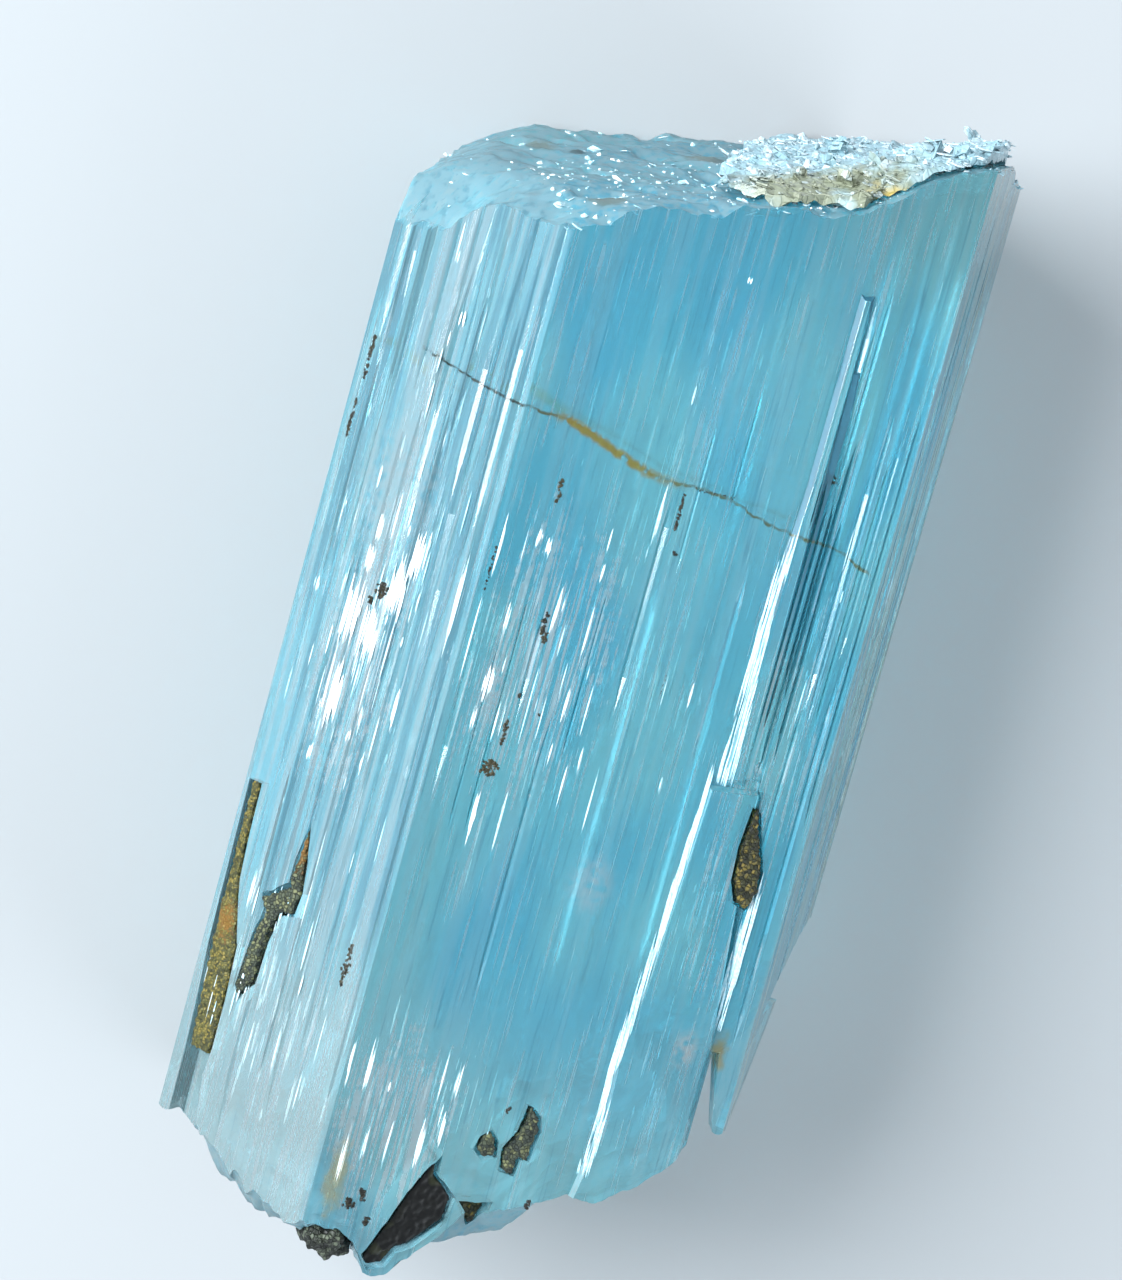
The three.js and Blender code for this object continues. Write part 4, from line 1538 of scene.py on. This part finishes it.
@dataclass
class Specks:
    """The small foreign grains and the stained crack.

    Attributes:
        prism: the crystal's section.
        grains: the grains and trains of grains.
        crumb: size of one crumb.
        seed: picks the crumbs' places.
    """

    prism: Prism
    grains: Sequence[Grain] = GRAINS
    crumb: float = 0.09
    seed: int = 33

    def _crumb(self, draw: random.Random, face: Face, across: float, along: float, size: float) -> Matrix:
        """Places one crumb in a face.

        Args:
            draw: the source of random numbers.
            face: the face.
            across: its place, from the middle of the front face or from the left edge.
            along: its height along the crystal.
            size: its half width.

        Returns:
            The crumb's matrix.
        """
        start = self.prism.front / 2 if face is Face.FRONT else 0.0
        at = self.prism.place(face, across + start, along, -size * 0.4)
        turn = Matrix.Rotation(draw.uniform(0, 6), 4, "Z") @ Matrix.Rotation(draw.uniform(0, 6), 4, "X")
        return at @ turn @ Matrix.Scale(size * MM, 4)

    def build(self) -> bpy.types.Object:
        """Builds all grains as one piece.

        Returns:
            The finished piece.
        """
        draw = random.Random(self.seed)
        places = []
        tones = []
        for grain in self.grains:
            area = (grain.high - grain.low) * grain.width
            for _ in range(max(5, round(area / self.crumb**2))):
                share = draw.uniform(-1, 1)
                along = (grain.low + grain.high) / 2 + share * (grain.high - grain.low) / 2
                across = grain.across + draw.gauss(0, 0.25) * grain.width * math.sqrt(1.05 - share * share)
                size = self.crumb * draw.uniform(0.5, 1.2) * min(1.0, grain.width / 0.2)
                places.append(self._crumb(draw, grain.face, across, along, size))
                tones.append(grain.tone + draw.uniform(-0.2, 0.3))
        for first, second in zip(CRACK, CRACK[1:]):
            if first[0] is not second[0]:
                continue
            steps = round(abs(second[1] - first[1]) / 0.09)
            for step in range(steps):
                share = (step + draw.random()) / steps
                across = first[1] + share * (second[1] - first[1])
                along = first[2] + share * (second[2] - first[2]) + draw.gauss(0, 0.03)
                dark = 1.0 if -1.0 < across < 1.4 and first[0] is Face.FRONT else 0.35
                size = self.crumb * draw.uniform(0.15, 0.6) * dark
                places.append(self._crumb(draw, first[0], across, along, size))
                tones.append(0.0 if dark == 1.0 else draw.uniform(0.2, 0.9))
        shapes = [Shapes.crumb(1), Shapes.crumb(5), Shapes.crumb(9)]
        return scattered("mineral_grains", shapes, places, tones)


@dataclass
class Studio:
    """The floor, the light and the camera.

    Attributes:
        centre: the middle of the crystal, in metres.
    """

    centre: Vector
    floor_size: float = 3.0
    camera_place: Vector = field(default_factory=lambda: Vector((-72.093, 31.285, 208.236)) * MM)
    camera_right: Vector = field(default_factory=lambda: Vector((0.92115409, 0.26411549, 0.28586387)))
    camera_up: Vector = field(default_factory=lambda: Vector((-0.20527465, 0.95372646, -0.21970017)))
    lens: float = 126.95

    def camera(self) -> bpy.types.Object:
        """Sets the camera at the photograph's viewing angle."""
        data = bpy.data.cameras.new("camera")
        data.lens = self.lens
        data.sensor_fit = "VERTICAL"
        data.sensor_height = 36.0
        data.sensor_width = 36.0
        data.clip_start = 0.01
        data.clip_end = 10.0
        camera = bpy.data.objects.new("camera", data)
        bpy.context.scene.collection.objects.link(camera)
        towards = self.camera_right.cross(self.camera_up)
        axes = Matrix((self.camera_right, self.camera_up, towards)).transposed()
        camera.matrix_world = Matrix.Translation(self.camera_place) @ axes.to_4x4()
        bpy.context.scene.camera = camera
        return camera

    def floor(self) -> bpy.types.Object:
        """Lays the pale floor."""
        deselect_all()
        bpy.ops.mesh.primitive_plane_add(size=self.floor_size, location=(0, 0, 0))
        floor = bpy.context.object
        floor.name = "floor"
        with editing(floor):
            bpy.ops.mesh.select_all(action="SELECT")
            bpy.ops.mesh.subdivide(number_cuts=4)
            bpy.ops.transform.translate(value=(0, 0, -0.03 * MM))
        material = bpy.data.materials.new("floor")
        material.use_nodes = True
        shader = material.node_tree.nodes["Principled BSDF"]
        shader.inputs["Base Color"].default_value = (0.47, 0.485, 0.50, 1.0)
        shader.inputs["Roughness"].default_value = 0.85
        floor.data.materials.append(material)
        return floor

    def softbox(
        self, name: str, place: Triple, size: float, power: float, colour: Colour
    ) -> bpy.types.Object:
        """Hangs one soft light that faces the crystal.

        Args:
            name: the light's name.
            place: where it hangs, in metres.
            size: its width, in metres.
            power: its power, in watts.
            colour: its colour.

        Returns:
            The light.
        """
        data = bpy.data.lights.new(name, "AREA")
        data.size = size
        data.energy = power
        data.color = colour
        light = bpy.data.objects.new(name, data)
        bpy.context.scene.collection.objects.link(light)
        aim = (self.centre - Vector(place)).to_track_quat("-Z", "Y")
        light.matrix_world = Matrix.Translation(place) @ aim.to_matrix().to_4x4()
        return light

    def light(self) -> None:
        """Sets the even surrounding light and the soft lights."""
        world = bpy.data.worlds.new("studio")
        world.use_nodes = True
        background = world.node_tree.nodes["Background"]
        background.inputs["Color"].default_value = (0.82, 0.92, 1.0, 1.0)
        background.inputs["Strength"].default_value = 0.59
        world.cycles.sampling_method = "NONE"
        bpy.context.scene.world = world
        bpy.context.scene.view_settings.view_transform = "Standard"
        paths = bpy.context.scene.cycles
        paths.max_bounces = 4
        paths.transmission_bounces = 4
        paths.glossy_bounces = 1
        paths.diffuse_bounces = 1
        paths.caustics_reflective = False
        paths.light_sampling_threshold = 0.05
        self.softbox("key", (-0.42, 0.1, 0.3), 0.3, 5.8, (0.92, 0.97, 1.0))
        self.softbox("fill", (0.38, -0.2, 0.28), 0.35, 1.2, (0.88, 0.95, 1.0))


def frosted(centre: Vector, normal: Vector) -> float:
    """Says how densely flakes cover a face of the crystal: thickly along the front of the termination."""
    if centre.y < TERMINATION_FROM or normal.y < 0.3:
        return 0.0
    return 1.0 if centre.x > -9.5 and centre.z > 8.0 else 0.12


def main() -> None:
    """Builds the dressed crystal in its studio."""
    logging.basicConfig(level=logging.INFO, format="%(message)s")
    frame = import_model()
    nodes = frame["nodes"]
    low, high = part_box("aquamarine_crystal")
    prism = Prism(front=FRONT_WIDTH, side=(high.x - low.x) / MM - FRONT_WIDTH)

    studio = Studio(centre=(low + high) / 2)
    studio.camera()
    studio.floor()
    studio.light()

    effects = Effects()
    beryl = Beryl("beryl", roughness=0.12, ior=1.575).build(effects, prism)
    mica = Mica("mica", roughness=0.45).build(effects)
    olive = Granular(
        "olive_mineral", roughness=0.6, dark=(0.04, 0.042, 0.014), middle=(0.12, 0.115, 0.03),
        light=(0.24, 0.19, 0.04), grain=0.13, relief=0.03, rusty=((-14.2, -15.6, 10.2),),
    ).build(effects)
    lozenge = Granular(
        "lozenge_mineral", roughness=0.6, dark=(0.012, 0.014, 0.005), middle=(0.05, 0.05, 0.014),
        light=(0.20, 0.15, 0.03), grain=0.2,
    ).build(effects)
    grey = Granular(
        "grey_olive_mineral", roughness=0.65, dark=(0.02, 0.028, 0.022), middle=(0.065, 0.08, 0.05),
        light=(0.16, 0.17, 0.08), grain=0.18, rusty=((-12.3, -10.9, 13.5),),
    ).build(effects)
    black = Granular(
        "black_mineral", roughness=0.35, ior=1.4, dark=(0.002, 0.002, 0.002), middle=(0.004, 0.004, 0.003),
        light=(0.014, 0.016, 0.006), grain=0.9, relief=0.01,
    ).build(effects)
    dark = Granular(
        "dark_grains", roughness=0.5, dark=(0.006, 0.008, 0.006), middle=(0.03, 0.036, 0.026),
        light=(0.12, 0.14, 0.10), grain=0.22,
    ).build(effects)
    white = Toned("white_tubes", roughness=0.3, low=(0.42, 0.74, 0.86), high=(0.93, 0.98, 1.0)).build()
    speck = Toned("specks", roughness=0.5, low=(0.006, 0.006, 0.004), high=(0.042, 0.034, 0.010)).build()

    crystal = Crystal(nodes["aquamarine_crystal"]).build()
    finish_piece(crystal, beryl, ["aquamarine_crystal"])
    frosting = Scales(count=1000, small=0.06, large=0.36, lean=0.3, seed=13)
    finish_piece(frosting.strew("termination_flakes", crystal, frosted), white)
    finish_piece(Crust(nodes["mica_crust"]).build(), mica, ["mica_crust"])
    fillings = (
        ("black_inclusion", "black_mineral_filling", black, "black_mineral"),
        ("dark_grain_cluster", "dark_grains", dark, "dark_grains"),
        ("groove_filling", "groove_mineral", olive, "olive_mineral"),
        ("olive_lozenge", "lozenge_mineral", lozenge, "olive_mineral"),
        ("long_patch", "long_patch_mineral", grey, "grey_olive_mineral"),
        ("small_patch", "small_patch_mineral", grey, "grey_olive_mineral"),
        ("forked_patch", "forked_patch_mineral", grey, "grey_olive_mineral"),
        ("base_triangle", "triangle_mineral", lozenge, "olive_mineral"),
    )
    for node, name, material, slot in fillings:
        relief = 0.05 if slot == "black_mineral" else 0.16
        finish_piece(Filling(nodes[node], name, relief=relief).build(), material, [node])
    finish_piece(Tubes(prism).build(), white)
    finish_piece(Specks(prism).build(), speck)


if __name__ == "__main__":
    main()
